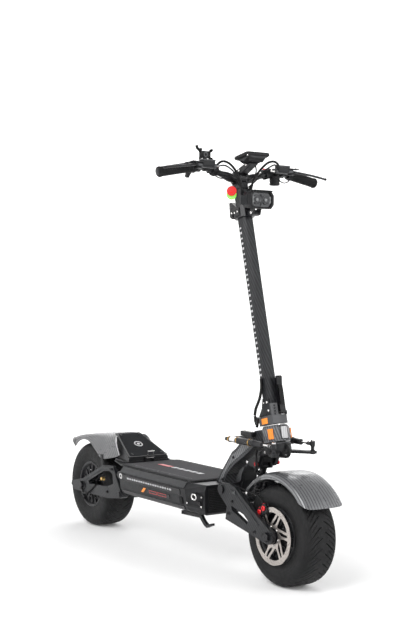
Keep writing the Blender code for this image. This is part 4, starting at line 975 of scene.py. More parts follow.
def fenders():
    """Shells over both wheels, with their stays, the rear one's toothed edge, pale beads along its bare front
    edge as a painted highlight, and rivets.
    """
    ax = WHEEL_X["front"]
    keys = []
    for t in (0, 0.15, 0.3, 0.45, 0.6, 0.75, 0.88, 0.96, 1.0):
        crown, edge = radians(131 - 99 * t), radians(145 - 102 * t)
        reach = 0.203 + 0.0025 * max(0.0, t - 0.8) / 0.2
        keys.append((ax + reach * cos(crown), TYRE_R + reach * sin(crown), ax + 0.182 * cos(edge),
                     TYRE_R + 0.182 * sin(edge)))
    put("front_fender_shell", loft(fender_rings("front", spread(keys, 64))), FENDER["front"], "front_arm",
        ["front_fender"], bevel=0.0006, smooth=50)
    keys = [(-0.742, 0.338, -0.694, 0.309), (-0.7, 0.3515, -0.664, 0.3325), (-0.64, 0.363, -0.622, 0.344),
            (-0.57, 0.3715, -0.575, 0.337), (-0.51, 0.377, -0.522, 0.305), (-0.47, 0.381, -0.484, 0.284),
            (-0.446, 0.3835, -0.425, 0.2905), (-0.412, 0.386, -0.37, 0.303), (-0.396, 0.3865, -0.344, 0.313)]
    rear = spread(keys, 64)
    put("rear_fender_shell", loft(fender_rings("rear", rear)), FENDER["rear"], "rear_arm", ["rear_fender"],
        bevel=0.0006, smooth=50)
    teeth = []
    for k in range(9):
        y = -0.056 + 0.014 * k
        teeth.append(loft([[Vector((x, y, z)) + Vector((0, w * half, dz))
                            for w, dz in ((-1, -low), (1, -low), (1, high), (-1, high))]
                           for x, z, half, low, high in ((-0.738, 0.3375, 0.0072, 0.0012, 0.0012),
                (-0.754, 0.329, 0.0026, 0.001, 0.0006))]))
    put("rear_fender_teeth", merged(*teeth), SOFT, "rear_arm")
    cx, cz, ex, ez = rear[-1]
    # Pale beads along the rear shell's bare front edge: a painted highlight, not a trim
    for side, name in SIDES:
        edge_highlight = [Vector((cx + (ex - cx) * d, s * side * -0.0808, cz + (ez - cz) * d)) for s, d in SECTION[:6]]
        put(f"rear_fender_lip_{name}", tube(smooth_route(edge_highlight, 0.004), 0.0019, 10), PALE, "rear_arm")
    bolt_heads("rear_fender_rivets", CHROME, "rear_arm",
               [((-0.479, s * 0.0795, 0.2925), (0, s, 0), 0.0048, 0.003) for s in (-1, 1)])
    for end, x, z, foot in (("front", 0.476, 0.285, (0.47, 0.27)), ("rear", -0.479, 0.292, (-0.47, 0.256))):
        side_shape = [(x - 0.008, z + 0.008), (x + 0.008, z + 0.008), (foot[0] + 0.01, foot[1]),
                      (foot[0] - 0.01, foot[1])]
        stays = [prism(side_shape, s * 0.0806, s * 0.083) for s in (-1, 1)]
        put(f"{end}_fender_stays", merged(*stays), BLACK, f"{end}_arm", bevel=0.0006)
    bolt_heads("front_fender_screws", CHROME, "front_arm",
               [((0.476, s * 0.0828, 0.286), (0, s, 0), 0.0042, 0.003) for s in (-1, 1)])


deck()
kick_plate()
fenders()


# ---------------------------------------------------------------- neck, head, fork, suspension
def neck_and_head():
    """Side panels and bolts of the gooseneck, damper mounts, the front lamp and the head's cover."""
    for side, name in SIDES:
        panel = prism([(0.262, 0.292), (0.284, 0.322), (0.34, 0.392), (0.362, 0.404), (0.412, 0.446),
                       (0.452, 0.462), (0.462, 0.447), (0.45, 0.438), (0.41, 0.41), (0.358, 0.377),
                       (0.328, 0.356), (0.3, 0.324), (0.286, 0.292)], side * 0.0444, side * 0.0468)
        put(f"neck_panel_{name}", panel, CARBON_HEAD, "frame", bevel=0.0012)
        bolt_heads(f"neck_bolts_{name}", ANODISED, "frame",
                   [((x, side * 0.0466, z), (0, side, 0), 0.005, 0.0036)
                    for x, z in ((0.288, 0.303), (0.349, 0.385), (0.44, 0.452))])
        box = block((0.444, side * 0.0575, 0.475), (0.062, 0.018, 0.016))
        put(f"damper_block_{name}", box, BLACK, "frame", bevel=0.0018)
        bolt_heads(f"damper_block_bolts_{name}", CHROME, "frame",
                   [((x, side * 0.0575, 0.4828), (0, 0, 1), 0.0036, 0.0022, 20) for x in (0.424, 0.464)])
    for part, look, bevel, section, rows in (("lens", CLEAR, 0.001,
            ((0.044, 0.015), (0.05, 0.012), (0.052, 0.0), (0.05, -0.012), (0.044, -0.015)),
            ((0.0085, 0.85), (0.013, 1.0), (0.043, 1.0), (0.048, 0.85))),
            ("rim", GLOSS, 0.0012, ((0.042, 0.0185), (0.0485, 0.0155), (0.05, 0.0), (0.0485, -0.0155),
            (0.042, -0.0185)), ((0.0055, 0.9), (0.01, 1.0), (0.047, 1.0), (0.052, 0.9)))):
        put(f"front_position_{part}", loft([[steered(u, y * k, w) for u, y in section] for w, k in rows]),
            look, "frame", bevel=bevel)
    cover = turned([(0.0215, 0.0548), (0.0335, 0.0548), (0.0335, 0.0583), (0.03, 0.0594), (0.0215, 0.0594)],
                   64, STEER)
    put("head_bearing_cover", cover, CHROME, "frame", bevel=0.0004)


def fork_details():
    """Cheeks, legs and bolts of the fork's beam, and the posts that hold the dampers' rods."""
    for side, name in SIDES:
        cheek = prism([(0.408, 0.3745), (0.44, 0.364), (0.47, 0.366), (0.482, 0.38), (0.492, 0.406),
                       (0.545, 0.417), (0.545, 0.4265), (0.5, 0.427), (0.452, 0.398), (0.412, 0.381)],
                      side * 0.0265, side * 0.042)
        put(f"fork_cheek_{name}", cheek, BLACK, "steered_fork", bevel=0.002)
        leg = prism([(0.386, 0.356), (0.394, 0.356), (0.38, 0.334), (0.374, 0.308), (0.364, 0.3),
                     (0.352, 0.299), (0.356, 0.322), (0.368, 0.344)], side * 0.0265, side * 0.033)
        put(f"fork_leg_{name}", leg, FRAME_GREY, "steered_fork", bevel=0.0014)
        bolt_heads(f"fork_red_bolt_{name}", RED, "steered_fork",
                   [((0.474, side * 0.0418, 0.377), (0, side, 0), 0.0072, 0.007, 28)])
        bolt_heads(f"fork_bolt_{name}", CHROME, "steered_fork",
                   [((0.424, side * 0.0418, 0.378), (0, side, 0), 0.0046, 0.0036),
                    ((0.52, side * 0.0418, 0.4215), (0, side, 0), 0.004, 0.003)])
        post = turned([(0, 0.418), (0.0085, 0.418), (0.0085, 0.43), (0.006, 0.432), (0.006, 0.442),
                       (0.008, 0.444), (0.008, 0.459), (0.007, 0.461), (0, 0.461)], 28,
                      Matrix.Translation((DAMPER_FRONT, side * DAMPER_Y, 0)))
        put(f"damper_post_{name}", post, ANODISED, "steered_fork", bevel=0.0004)
        bolt_heads(f"damper_post_nut_{name}", CHROME, "steered_fork",
                   [((DAMPER_FRONT, side * DAMPER_Y, 0.4605), (0, 0, 1), 0.0062, 0.005, 6, False)], smooth=20)
    gaiter = turned([(0.03, -0.006), (0.044, -0.008), (0.0455, -0.0045), (0.044, -0.002), (0.032, -0.0006),
                     (0.03, -0.001)], 64, STEER)
    put("crown_ring", gaiter, GREY_METAL, "steered_fork", bevel=0.0004)


def fold_details():
    """Bolts, labels and pin heads of the fold clamp, and the pin, ear and pad of its lever."""
    bolt_heads("clamp_plate_bolts", ANODISED, "steered_fork",
               [(steered(0.0334, -0.015, w), outward(STEER, (1, 0, 0)), 0.0036, 0.0022)
                for w in (0.092, 0.101, 0.11, 0.119)])
    for side, name in SIDES:
        label = [(-0.02, 0.064), (0.012, 0.064), (0.012, 0.083), (-0.02, 0.083)]
        put(f"clamp_label_{name}", prism(label, side * 0.0338, side * 0.0347, STEER), ORANGE if side < 0
            else DIM, "steered_fork", bevel=0.0003)
        bolt_heads(f"fold_pin_head_{name}", CHROME, "steered_fork",
                   [(steered(-0.048, side * 0.0358, 0.084), (0, side, 0), 0.0082, 0.005, 32)])
    collar = turned([(0.0225, 0.085), (0.03, 0.0862), (0.031, 0.0885), (0.03, 0.0905), (0.0225, 0.0912)], 64,
                    STEER)
    put("clamp_collar", collar, ANODISED, "steered_fork")
    spring_pin = rod(steered(0.0335, 0.002, 0.0965), steered(0.0335, 0.027, 0.0965), 0.0029, 24)
    put("fold_lever_pin", spring_pin, CHROME, "steered_fork")
    plates = prism([(0.027, 0.088), (0.04, 0.088), (0.04, 0.1), (0.033, 0.105), (0.027, 0.105)], 0.0268, 0.03,
                   STEER)
    put("fold_lever_ear", plates, GREY_METAL, "steered_fork", bevel=0.0006)
    grip = prism([(0.0412, 0.12), (0.0422, 0.186), (0.0432, 0.187), (0.0445, 0.17), (0.044, 0.13)], 0.006,
                 0.023, STEER)
    put("fold_lever_pad", grip, SOFT, "clamp_lever", bevel=0.001)


def coil(end):
    """Spring between the shock's two seats."""
    top, bottom = {"front": (Vector((0.458, 0, 0.366)), Vector((0.414, 0, 0.25))),
                   "rear": (Vector((-0.304, 0, 0.252)), Vector((-0.405, 0, 0.166)))}[end]
    body = f"{end}_shock_upper"
    along = (bottom - top).normalized()
    low, high, turns = 0.0265, (bottom - top).length - 0.026, 6.5
    place = facing(top, along)
    points = []
    for k in range(int(turns * 20) + 1):
        a = 2 * pi * k / 20
        share = k / (turns * 20)
        ease = min(1.0, max(0.0, (share * turns - 0.75) / (turns - 1.5)))
        rise = low + 0.0022 + (high - low - 0.0044) * (0.06 * share + 0.94 * ease)
        points.append(place @ Vector((0.015 * cos(a), 0.015 * sin(a), rise)))
    obj = put(f"{end}_coil", tube(points, 0.0021, 10), ANODISED, body, [f"{end}_shock_spring"])
    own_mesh(obj)
    for label, at, wide, ride in (("upper", low - 0.003, 0.0166, body),
                                  ("lower", high + 0.0002, 0.0158, f"{end}_shock_lower")):
        seat = turned([(0.0127, at), (wide, at), (wide, at + 0.0026), (0.0127, at + 0.0026)], 48, place)
        put(f"{end}_spring_seat_{label}", seat, ANODISED, ride, bevel=0.0004)


def arms():
    """Inlays, marks, bolts and dropout plates on the sides of both swingarms."""
    for side, name in SIDES:
        y = side * ARM_OUT
        lattice = prism([(0.402, 0.29), (0.424, 0.285), (0.512, 0.23), (0.56, 0.196), (0.552, 0.19),
                         (0.5, 0.218), (0.42, 0.256), (0.4, 0.265)], y, y + side * 0.0016)
        put(f"front_arm_inlay_{name}", lattice, CARBON_ARM, "front_arm", bevel=0.0006)
        tri = prism([(0.412, 0.278), (0.432, 0.288), (0.433, 0.274)], y, y + side * 0.0026)
        put(f"front_arm_mark_{name}", tri, GREY_METAL, "front_arm", bevel=0.0003)
        bolt_heads(f"front_arm_bolts_{name}", ANODISED, "front_arm",
                   [((x, y, z), (0, side, 0), 0.0052, 0.0042, 28)
                    for x, z in ((0.394, 0.208), (0.414, 0.25), (0.538, 0.17))])
        dropout = [(-0.03, -0.006), (-0.022, -0.014), (0.02, -0.014), (0.03, -0.004), (0.026, 0.01),
                   (-0.024, 0.012)]
        for end, ax in WHEEL_X.items():
            back = 1 if end == "rear" else -1
            shape = [(ax + dx * back, TYRE_R + dz) for dx, dz in dropout][::back]
            put(f"{end}_dropout_{name}", prism(shape, y, y + side * 0.0024), BLACK, f"{end}_arm",
                bevel=0.0008, cut=rod((ax, -0.2, TYRE_R), (ax, 0.2, TYRE_R), 0.015))
            bolt_heads(f"{end}_dropout_screws_{name}", ANODISED, f"{end}_arm",
                       [((ax + dx, y + side * 0.0022, TYRE_R + dz), (0, side, 0), 0.0028, 0.0022, 20)
                        for dx, dz in ((-0.0215, 0.004), (0.0215, 0.001))])
        bolt_heads(f"rear_arm_bolts_{name}", ANODISED, "rear_arm",
                   [((x, y, z), (0, side, 0), 0.0054, 0.0044, 28)
                    for x, z in ((-0.405, 0.166), (-0.372, 0.256))])
        bolt_heads(f"rear_arm_nut_{name}", BRASS, "rear_arm",
                   [((-0.46, side * 0.079, 0.208), (0, side, 0), 0.0074, 0.014, 6, False)], smooth=20)
        inlay = prism([(-0.6, 0.186), (-0.448, 0.256), (-0.388, 0.26), (-0.388, 0.254), (-0.446, 0.249),
                       (-0.59, 0.182)], y, y + side * 0.0012)
        put(f"rear_arm_inlay_{name}", inlay, FRAME_GREY, "rear_arm", bevel=0.0004)


def damper_details():
    """Tubes of the steering dampers with their rings, bands, knobs and end joints."""
    for side, name in SIDES:
        body, sleeve = f"damper_body_{name}", f"damper_slide_{name}"
        at = Matrix.Translation((DAMPER_REAR, side * DAMPER_Y, DAMPER_Z)) @ Matrix.Rotation(pi / 2, 4, "Y")
        tube_shape = [(0, 0.0045), (0.007, 0.0045), (0.0098, 0.0075), (0.0098, 0.0125), (0.008, 0.014),
                      (0.008, 0.048), (0.01, 0.05), (0.0112, 0.052), (0.0112, 0.124), (0.01, 0.126),
                      (0.01, 0.131), (0.0112, 0.133), (0.0112, 0.146), (0.0098, 0.149), (0.0098, 0.188),
                      (0.0082, 0.1896), (0.0044, 0.1896), (0.0044, 0.092), (0, 0.092)]
        put(f"damper_tube_{name}", turned(tube_shape, 48, at), ANODISED, body, [f"steering_damper_{name}"],
            smooth=30)
        rings = [turned([(r - 0.0016, w), (r + 0.0006, w), (r + 0.0009, w + wide / 2), (r + 0.0006, w + wide),
                         (r - 0.0016, w + wide)], 48, at) for r, w, wide in ((0.0098, 0.0082, 0.003),
                (0.0112, 0.054, 0.0022), (0.0112, 0.12, 0.0022))]
        put(f"damper_gold_rings_{name}", merged(*rings), GOLD, body, smooth=30)
        band = turned([(0.0078, 0.016), (0.0094, 0.0164), (0.0094, 0.046), (0.0078, 0.0464)], 48, at)
        put(f"damper_silver_band_{name}", band, CHROME, body, smooth=30)
        notches = [block((0, 0, 0), (0.0018, 0.003, 0.011),
                         at @ Matrix.Rotation(2 * pi * k / 14, 4,
                "Z") @ Matrix.Translation((0.0112, 0, 0.1396))) for k in range(14)]
        put(f"damper_knob_{name}", merged(*notches), ANODISED, body, bevel=0.0003, segments=1)
        for width in (0.0006, 0.0005):
            dress(f"damper_rod_{name}", CHROME, width)
        ball = turned([(0, 0.219), (0.005, 0.2195), (0.0066, 0.2225), (0.0066, 0.232), (0.005, 0.2345),
                       (0, 0.2348)], 32, at)
        put(f"damper_joint_{name}", ball, GREY_METAL, sleeve, smooth=30)


neck_and_head()
fork_details()
fold_details()
coil("front")
coil("rear")
arms()
damper_details()


# ---------------------------------------------------------------- stem
def stem_details():
    """Marks up the stem's sides, plates and bolts at its foot and collar, and the bar clamp."""
    for side, name in SIDES:
        marks = []
        for k in range(30):
            w = 0.205 + 0.018 * k
            tall = 0.0052 + 0.0026 * (k % 3 == 1) + 0.0016 * (k % 4 == 2)
            slant = [(-0.011, w), (-0.001, w), (0.0, w + tall), (-0.01, w + tall)]
            marks.append(prism(slant, side * 0.02185, side * 0.02225, STEER))
        put(f"stem_marks_{name}", merged(*marks), PALE, "stem")
        clamp = turned([(0.0162, 0), (0.0228, 0), (0.0234, 0.0015), (0.0234, 0.0075), (0.0228, 0.009),
                        (0.0162, 0.009)], 48, facing((BAR_X, side * 0.015, BAR_Z), (0, side, 0)))
        put(f"bar_clamp_ring_{name}", clamp, ANODISED, "stem", bevel=0.0004, segments=1)
        bolt_heads(f"bar_clamp_bolts_{name}", GREY_METAL, "stem",
                   [((BAR_X + 0.0215, side * 0.0125, BAR_Z + dz), (1, 0, 0), 0.0028, 0.0034)
                    for dz in (-0.008, 0.008)])
        bolt_heads(f"hook_bolts_{name}", CHROME, "stem",
                   [((0.257, side * 0.009, 1.245), (0, side, 0), 0.0048, 0.0034),
                    ((0.272, side * 0.009, 1.21), (0, side, 0), 0.0036, 0.0026, 6, False)])
        lug = prism([(-0.019, 0.772), (0.013, 0.772), (0.013, 0.798), (-0.019, 0.798)], side * 0.028,
                    side * 0.0318, STEER)
        put(f"collar_lug_{name}", lug, ANODISED, "stem", bevel=0.001)
        bolt_heads(f"collar_bolts_{name}", CHROME, "stem",
                   [(steered(u, side * 0.0318, 0.785), (0, side, 0), 0.0034, 0.0026)
                    for u in (-0.011, 0.006)])
        foot = prism([(-0.024, 0.095), (0.02, 0.095), (0.021, 0.12), (0.015, 0.144), (-0.015, 0.144),
                      (-0.024, 0.12)], side * 0.019, side * 0.0222, STEER)
        put(f"stem_foot_plate_{name}", foot, BLACK, "stem", bevel=0.0006)
        bolt_heads(f"stem_foot_bolts_{name}", CHROME, "stem",
                   [(steered(u, side * 0.0222, w), (0, side, 0), 0.004, 0.0034)
                    for u, w in ((-0.01, 0.134), (0.009, 0.134), (0.012, 0.106))])
    section = ((0.016, -0.015), (0.0205, -0.0115), (0.0225, -0.006), (0.0225, 0.006), (0.0205, 0.0115),
               (0.016, 0.015))
    clamp_cap = loft([[(BAR_X + x, y, BAR_Z + z) for x, z in section] for y in (-0.0175, 0.0175)])
    put("bar_clamp_cap", clamp_cap, ANODISED, "stem", bevel=0.0012)
    ring = [steered(0.025 * cos(a), 0.025 * sin(a), 0.864) for a in [2 * pi * k / 40 for k in range(41)]]
    put("stem_cable_band", tube(ring, 0.0016, 8), SOFT, "stem")


def bar_smooth(y):
    """The bar's middle with its bends rounded off."""
    around = [bar_point(max(-GRIP_OUTER, min(GRIP_OUTER, y + 0.012 * o))).z for o in (-1, -0.5, 0, 0.5, 1)]
    return Vector((BAR_X, y, sum(around) / 5))


def handlebar():
    """Bar swollen at its clamp, ribbed grips with end caps and locking rings."""
    count = 64
    rings = []
    for k in range(count + 1):
        middle = bar_smooth(-0.326 + 0.652 * k / count)
        radius = BAR_TUBE_R + 0.0048 * min(1.0, max(0.0, (0.074 - abs(middle.y)) / 0.018))
        rings.append([(x, middle.y, z) for x, z in circle(middle.x, middle.z, radius)])
    put("handlebar_tube", loft(rings), ANODISED, "stem", ["handlebar"])
    for side, name in SIDES:
        inner, outer = bar_point(side * GRIP_INNER), bar_point(side * GRIP_OUTER)
        place = facing(inner, outer - inner)
        length = (outer - inner).length
        profile = [(0.0119, 0.0), (0.0182, 0.0), (0.0186, 0.001), (0.0186, 0.006), (0.0176, 0.007)]
        ribs = 24
        step = (length - 0.018) / ribs
        for k in range(ribs):
            at = 0.008 + (length - 0.018) * k / ribs
            profile += [(0.016, at), (0.016, at + step * 0.3), (0.0167, at + step * 0.42),
                        (0.0167, at + step * 0.88)]
        profile += [(0.016, length - 0.0098), (0.0178, length - 0.0088), (0.018, length - 0.005),
                    (0.0165, length - 0.0012), (0.0119, length - 0.0008)]
        put(f"grip_sleeve_{name}", turned(profile, 40, place), SOFT, "stem", [f"grip_{name}"], smooth=25)
        cap = turned([(0, length - 0.0009), (0.012, length - 0.0009), (0.012, length + 0.0008),
                      (0.01, length + 0.0018), (0, length + 0.0018)], 32, place)
        put(f"grip_cap_{name}", cap, ANODISED, "stem")
        lock = turned([(0.0119, -0.0072), (0.0166, -0.0072), (0.0172, -0.0064), (0.0172, -0.0008),
                       (0.0166, -0.0002), (0.0119, -0.0002)], 40, place)
        put(f"grip_lock_ring_{name}", lock, ANODISED, "stem")
        bolt_heads(f"grip_lock_bolt_{name}", CHROME, "stem",
                   [(place @ Vector((0, 0.0168, -0.0037)), outward(place, (0, 1, 0)), 0.0026, 0.0024, 16)])


# ---------------------------------------------------------------- brake levers and switches
def ring_on_bar(y, width, radius):
    """A clamp ring round the handlebar at a side offset."""
    inner = 0.0113
    chamfer = min(0.0012, width / 4)
    return turned([(inner, -width / 2), (radius - chamfer, -width / 2), (radius, -width / 2 + chamfer),
                   (radius, width / 2 - chamfer), (radius - chamfer, width / 2), (inner, width / 2)], 40,
                  facing(bar_point(y), (0, 1, 0)))


def box_about(middle, outline, layers):
    """An outline in (x, y) stacked about a point, each layer given as (height, scale)."""
    return loft([[(middle.x + x * g, middle.y + y * g, middle.z + z) for x, y in outline] for z, g in layers])


def brake_controls():
    """Clamps, fluid tanks, cylinders, perches and blades of both brake levers."""
    for side, name in SIDES:
        y = side * BRAKE_Y
        at = bar_point(y)
        put(f"brake_clamp_{name}", ring_on_bar(y, 0.017, 0.0168), ANODISED, "stem", [f"brake_mount_{name}"])
        ear = block((BAR_X + 0.019, y, at.z + 0.002), (0.011, 0.015, 0.027))
        put(f"brake_clamp_ear_{name}", ear, ANODISED, "stem", bevel=0.0024, segments=3)
        bolt_heads(f"brake_clamp_bolts_{name}", CHROME, "stem",
                   [((BAR_X - 0.013, y, at.z + dz), (-1, 0, 0), 0.003, 0.004, 20) for dz in (-0.008, 0.008)])
        middle = Vector((BAR_X + 0.033, y - side * 0.018, at.z + 0.01))
        base = box_about(middle, rounded(0.025, 0.054, 0.007),
                         ((-0.0125, 0.8), (-0.009, 0.94), (-0.004, 1.0), (0.0085, 1.0)))
        put(f"brake_tank_{name}", base, BLACK, "stem", bevel=0.0008)
        lid = box_about(middle, rounded(0.027, 0.056, 0.007), ((0.0088, 1.0), (0.0118, 1.0), (0.013, 0.92)))
        put(f"brake_tank_lid_{name}", lid, GREY_METAL, "stem", bevel=0.0004)
        bolt_heads(f"brake_tank_screws_{name}", CHROME, "stem",
                   [((middle.x, middle.y + d, middle.z + 0.0128), (0, 0, 1), 0.0028, 0.0016, 20)
                    for d in (-0.021, 0.021)])
        barrel = rod((BAR_X + 0.033, side * 0.124, at.z + 0.002), (BAR_X + 0.0345, side * 0.2, at.z + 0.004),
                     0.0086, 28)
        put(f"brake_cylinder_{name}", barrel, GREY_METAL, "stem", bevel=0.0012)
        fitting = rod((BAR_X + 0.0325, side * 0.11, at.z + 0.003),
                      (BAR_X + 0.033, side * 0.124, at.z + 0.002), 0.0048, 6)
        put(f"brake_fitting_{name}", fitting, CHROME, "stem", bevel=0.0005)
        fork = merged(block((BAR_X + 0.037, side * 0.201, at.z + 0.0131), (0.017, 0.042, 0.004)),
                      block((BAR_X + 0.037, side * 0.193, at.z - 0.0075), (0.016, 0.02, 0.0036)))
        put(f"lever_perch_{name}", fork, ANODISED, "stem", bevel=0.0012)
        pivot = Vector((BAR_X + 0.039, side * 0.214, 1.3605))
        bolt_heads(f"lever_pivot_bolt_{name}", CHROME, "stem",
                   [(pivot + Vector((0, 0, 0.01)), (0, 0, 1), 0.0044, 0.003)])
        drop = (1.341 - 1.3605) / 0.139
        rings = []
        for yy, x, wide, tall in ((0.202, 0.039, 0.0075, 0.004), (0.214, 0.04, 0.0085, 0.0042),
                                  (0.226, 0.044, 0.007, 0.0042), (0.245, 0.05, 0.0046, 0.004),
                                  (0.27, 0.054, 0.0042, 0.004), (0.295, 0.055, 0.0042, 0.004),
                                  (0.318, 0.0535, 0.0042, 0.0038), (0.329, 0.052, 0.004, 0.0036),
                                  (0.3325, 0.0516, 0.005, 0.0044), (0.335, 0.0514, 0.0056, 0.005),
                                  (0.338, 0.0512, 0.005, 0.0044), (0.3402, 0.051, 0.0028, 0.0024)):
            z = pivot.z - 0.0015 + (yy - 0.202) * drop
            rings.append([(BAR_X + x + wide * cos(a), side * yy, z + tall * sin(a))
                          for a in [2 * pi * k / 20 for k in range(20)]])
        put(f"brake_blade_{name}", loft(rings), ANODISED, f"lever_{name}", [f"brake_lever_{name}"], smooth=40)


def switches():
    """Switch boxes and buttons on both sides, the throttle's housing and the horn."""
    at = bar_point(SWITCH_Y)
    put("right_switch_ring", ring_on_bar(SWITCH_Y, 0.023, 0.0166), PLASTIC, "stem")
    box = box_about(at + Vector((-0.015, 0, 0.0045)), rounded(0.022, 0.03, 0.005),
                    ((-0.012, 0.9), (-0.009, 1.0), (0.01, 1.0), (0.013, 0.88)))
    put("right_switch_box", box, PLASTIC, "stem", bevel=0.0005)
    knobs = [turned([(0, 0), (0.0036, 0), (0.0036, 0.002), (0.0028, 0.0028), (0, 0.0028)], 24,
                    facing((at.x - 0.015, at.y + d, at.z + 0.0172), (0, 0, 1))) for d in (-0.008, 0.008)]
    put("right_switch_buttons", merged(*knobs), RED, "stem", smooth=30)
    rocker = loft([[(at.x - 0.0268 + x, at.y + y, at.z + 0.0045 + z) for y, z in rounded(0.02, 0.01, 0.003)]
                   for x in (0.0012, -0.0012)])
    put("right_switch_rocker", rocker, GREY_METAL, "stem", bevel=0.0004)
    pod = bar_point(LEFT_SWITCH_Y)
    knobs = [turned([(0, 0), (0.0034, 0), (0.0034, 0.0022), (0.0026, 0.003), (0, 0.003)], 24,
                    facing((pod.x - 0.023, pod.y + d, pod.z + 0.004), (-1, 0, 0))) for d in (-0.0055, 0.0055)]
    put("left_switch_buttons", merged(*knobs), AMBER, "stem", smooth=30)
    put("throttle_housing", ring_on_bar(THROTTLE_Y, 0.007, 0.019), PLASTIC, "stem")
    horn_place = Matrix.Translation((BAR_X + 0.006, HORN_Y, 1.3115))
    horn = turned([(0, 0), (0.0165, 0), (0.018, 0.0015), (0.018, 0.0075), (0.0168, 0.0085), (0.0168, 0.0105),
                   (0.018, 0.0115), (0.018, 0.03), (0.016, 0.0322), (0, 0.0322)], 48, horn_place)
    put("horn", horn, PLASTIC, "stem", bevel=0.0004, segments=1)
    grille = [turned([(r, -0.0008), (r + 0.0012, -0.0008), (r + 0.0012, 0.001), (r, 0.001)], 40, horn_place)
              for r in (0.004, 0.008, 0.012)]
    put("horn_grille", merged(*grille), ANODISED, "stem")
    put("horn_strap", ring_on_bar(HORN_Y, 0.008, 0.0136), PLASTIC, "stem")


# ---------------------------------------------------------------- display, lamp, phone holder, tags
def display():
    """Display case with its glass, ribs and dial, on an arm over the bar clamp."""
    at = Matrix.Translation((0.3705, 0, 1.396)) @ Matrix.Rotation(radians(-11), 4, "Y")
    case = loft([[(x * g, y * g, z) for x, y in rounded(0.078, 0.098, 0.009)]
                 for z, g in ((-0.006, 0.95), (-0.004, 1.0), (0.0036, 1.0), (0.0056, 0.965))], at)
    put("display_case", case, PLASTIC, "stem", ["display"], bevel=0.0004)
    put("display_glass", loft([[(x, y, z) for x, y in rounded(0.069, 0.088, 0.006)] for z in (0.005, 0.0062)],
                              at), SCREEN, "stem", bevel=0.0004)
    sides = [(-0.03, -0.04), (0.03, -0.04), (0.03, 0.04), (-0.03, 0.04)]
    put("display_back", loft([[(x * g, y * g, z) for x, y in sides]
                              for z, g in ((-0.022, 0.62), (-0.02, 0.68), (-0.005, 1.0))], at), PLASTIC,
        "stem", bevel=0.0012)
    fins = [loft([[(x, s * 0.0385 + dy, z) for x, z in ((-0.026, -0.0058), (0.03, -0.0058), (0.004, -0.019))]
                  for dy in (-0.001, 0.001)], at) for s in (-1, 1)]
    fins.append(loft([[(x, y, z) for y, z in ((-0.036, -0.0058), (0.036, -0.0058), (0.022, low),
            (-0.022, low))] for x, low in ((0.0325, -0.01), (0.03, -0.014))], at))
    put("display_ribs", merged(*fins), FRAME_GREY, "stem", bevel=0.0003, segments=1)
    bolt_heads("display_screws", CHROME, "stem",
               [(at @ Vector((x, y, -0.006)), outward(at, (0, 0, -1)), 0.0026, 0.0016, 16)
                for x in (-0.032, 0.0345) for y in (-0.044, 0.044)])
    arm = prism([(BAR_X + 0.005, BAR_Z + 0.019), (BAR_X + 0.02, BAR_Z + 0.012),
                 (BAR_X + 0.033, BAR_Z + 0.018), (0.386, 1.37), (0.383, 1.376), (0.35, 1.374),
                 (BAR_X - 0.008, BAR_Z + 0.026)], -0.015, 0.015)
    put("display_arm", arm, ANODISED, "stem", bevel=0.002)
    bolt_heads("display_arm_bolts", CHROME, "stem",
               [((x, s * 0.015, z), (0, s, 0), 0.0042, 0.0032) for s in (-1, 1)
                for x, z in ((0.32, 1.352), (0.36, 1.369))])
    top = at @ Matrix.Translation((0, 0, 0.0061))
    dial = turned([(0.021, 0), (0.0224, 0), (0.0224, 0.0004), (0.021, 0.0004)], 64, top)
    bars = [block((-0.029, -0.018 + 0.009 * k, 0.0002), (0.0026 + 0.0007 * k, 0.006, 0.0004), top)
            for k in range(5)]
    put("display_dial", merged(dial, *bars), PALE, "stem")


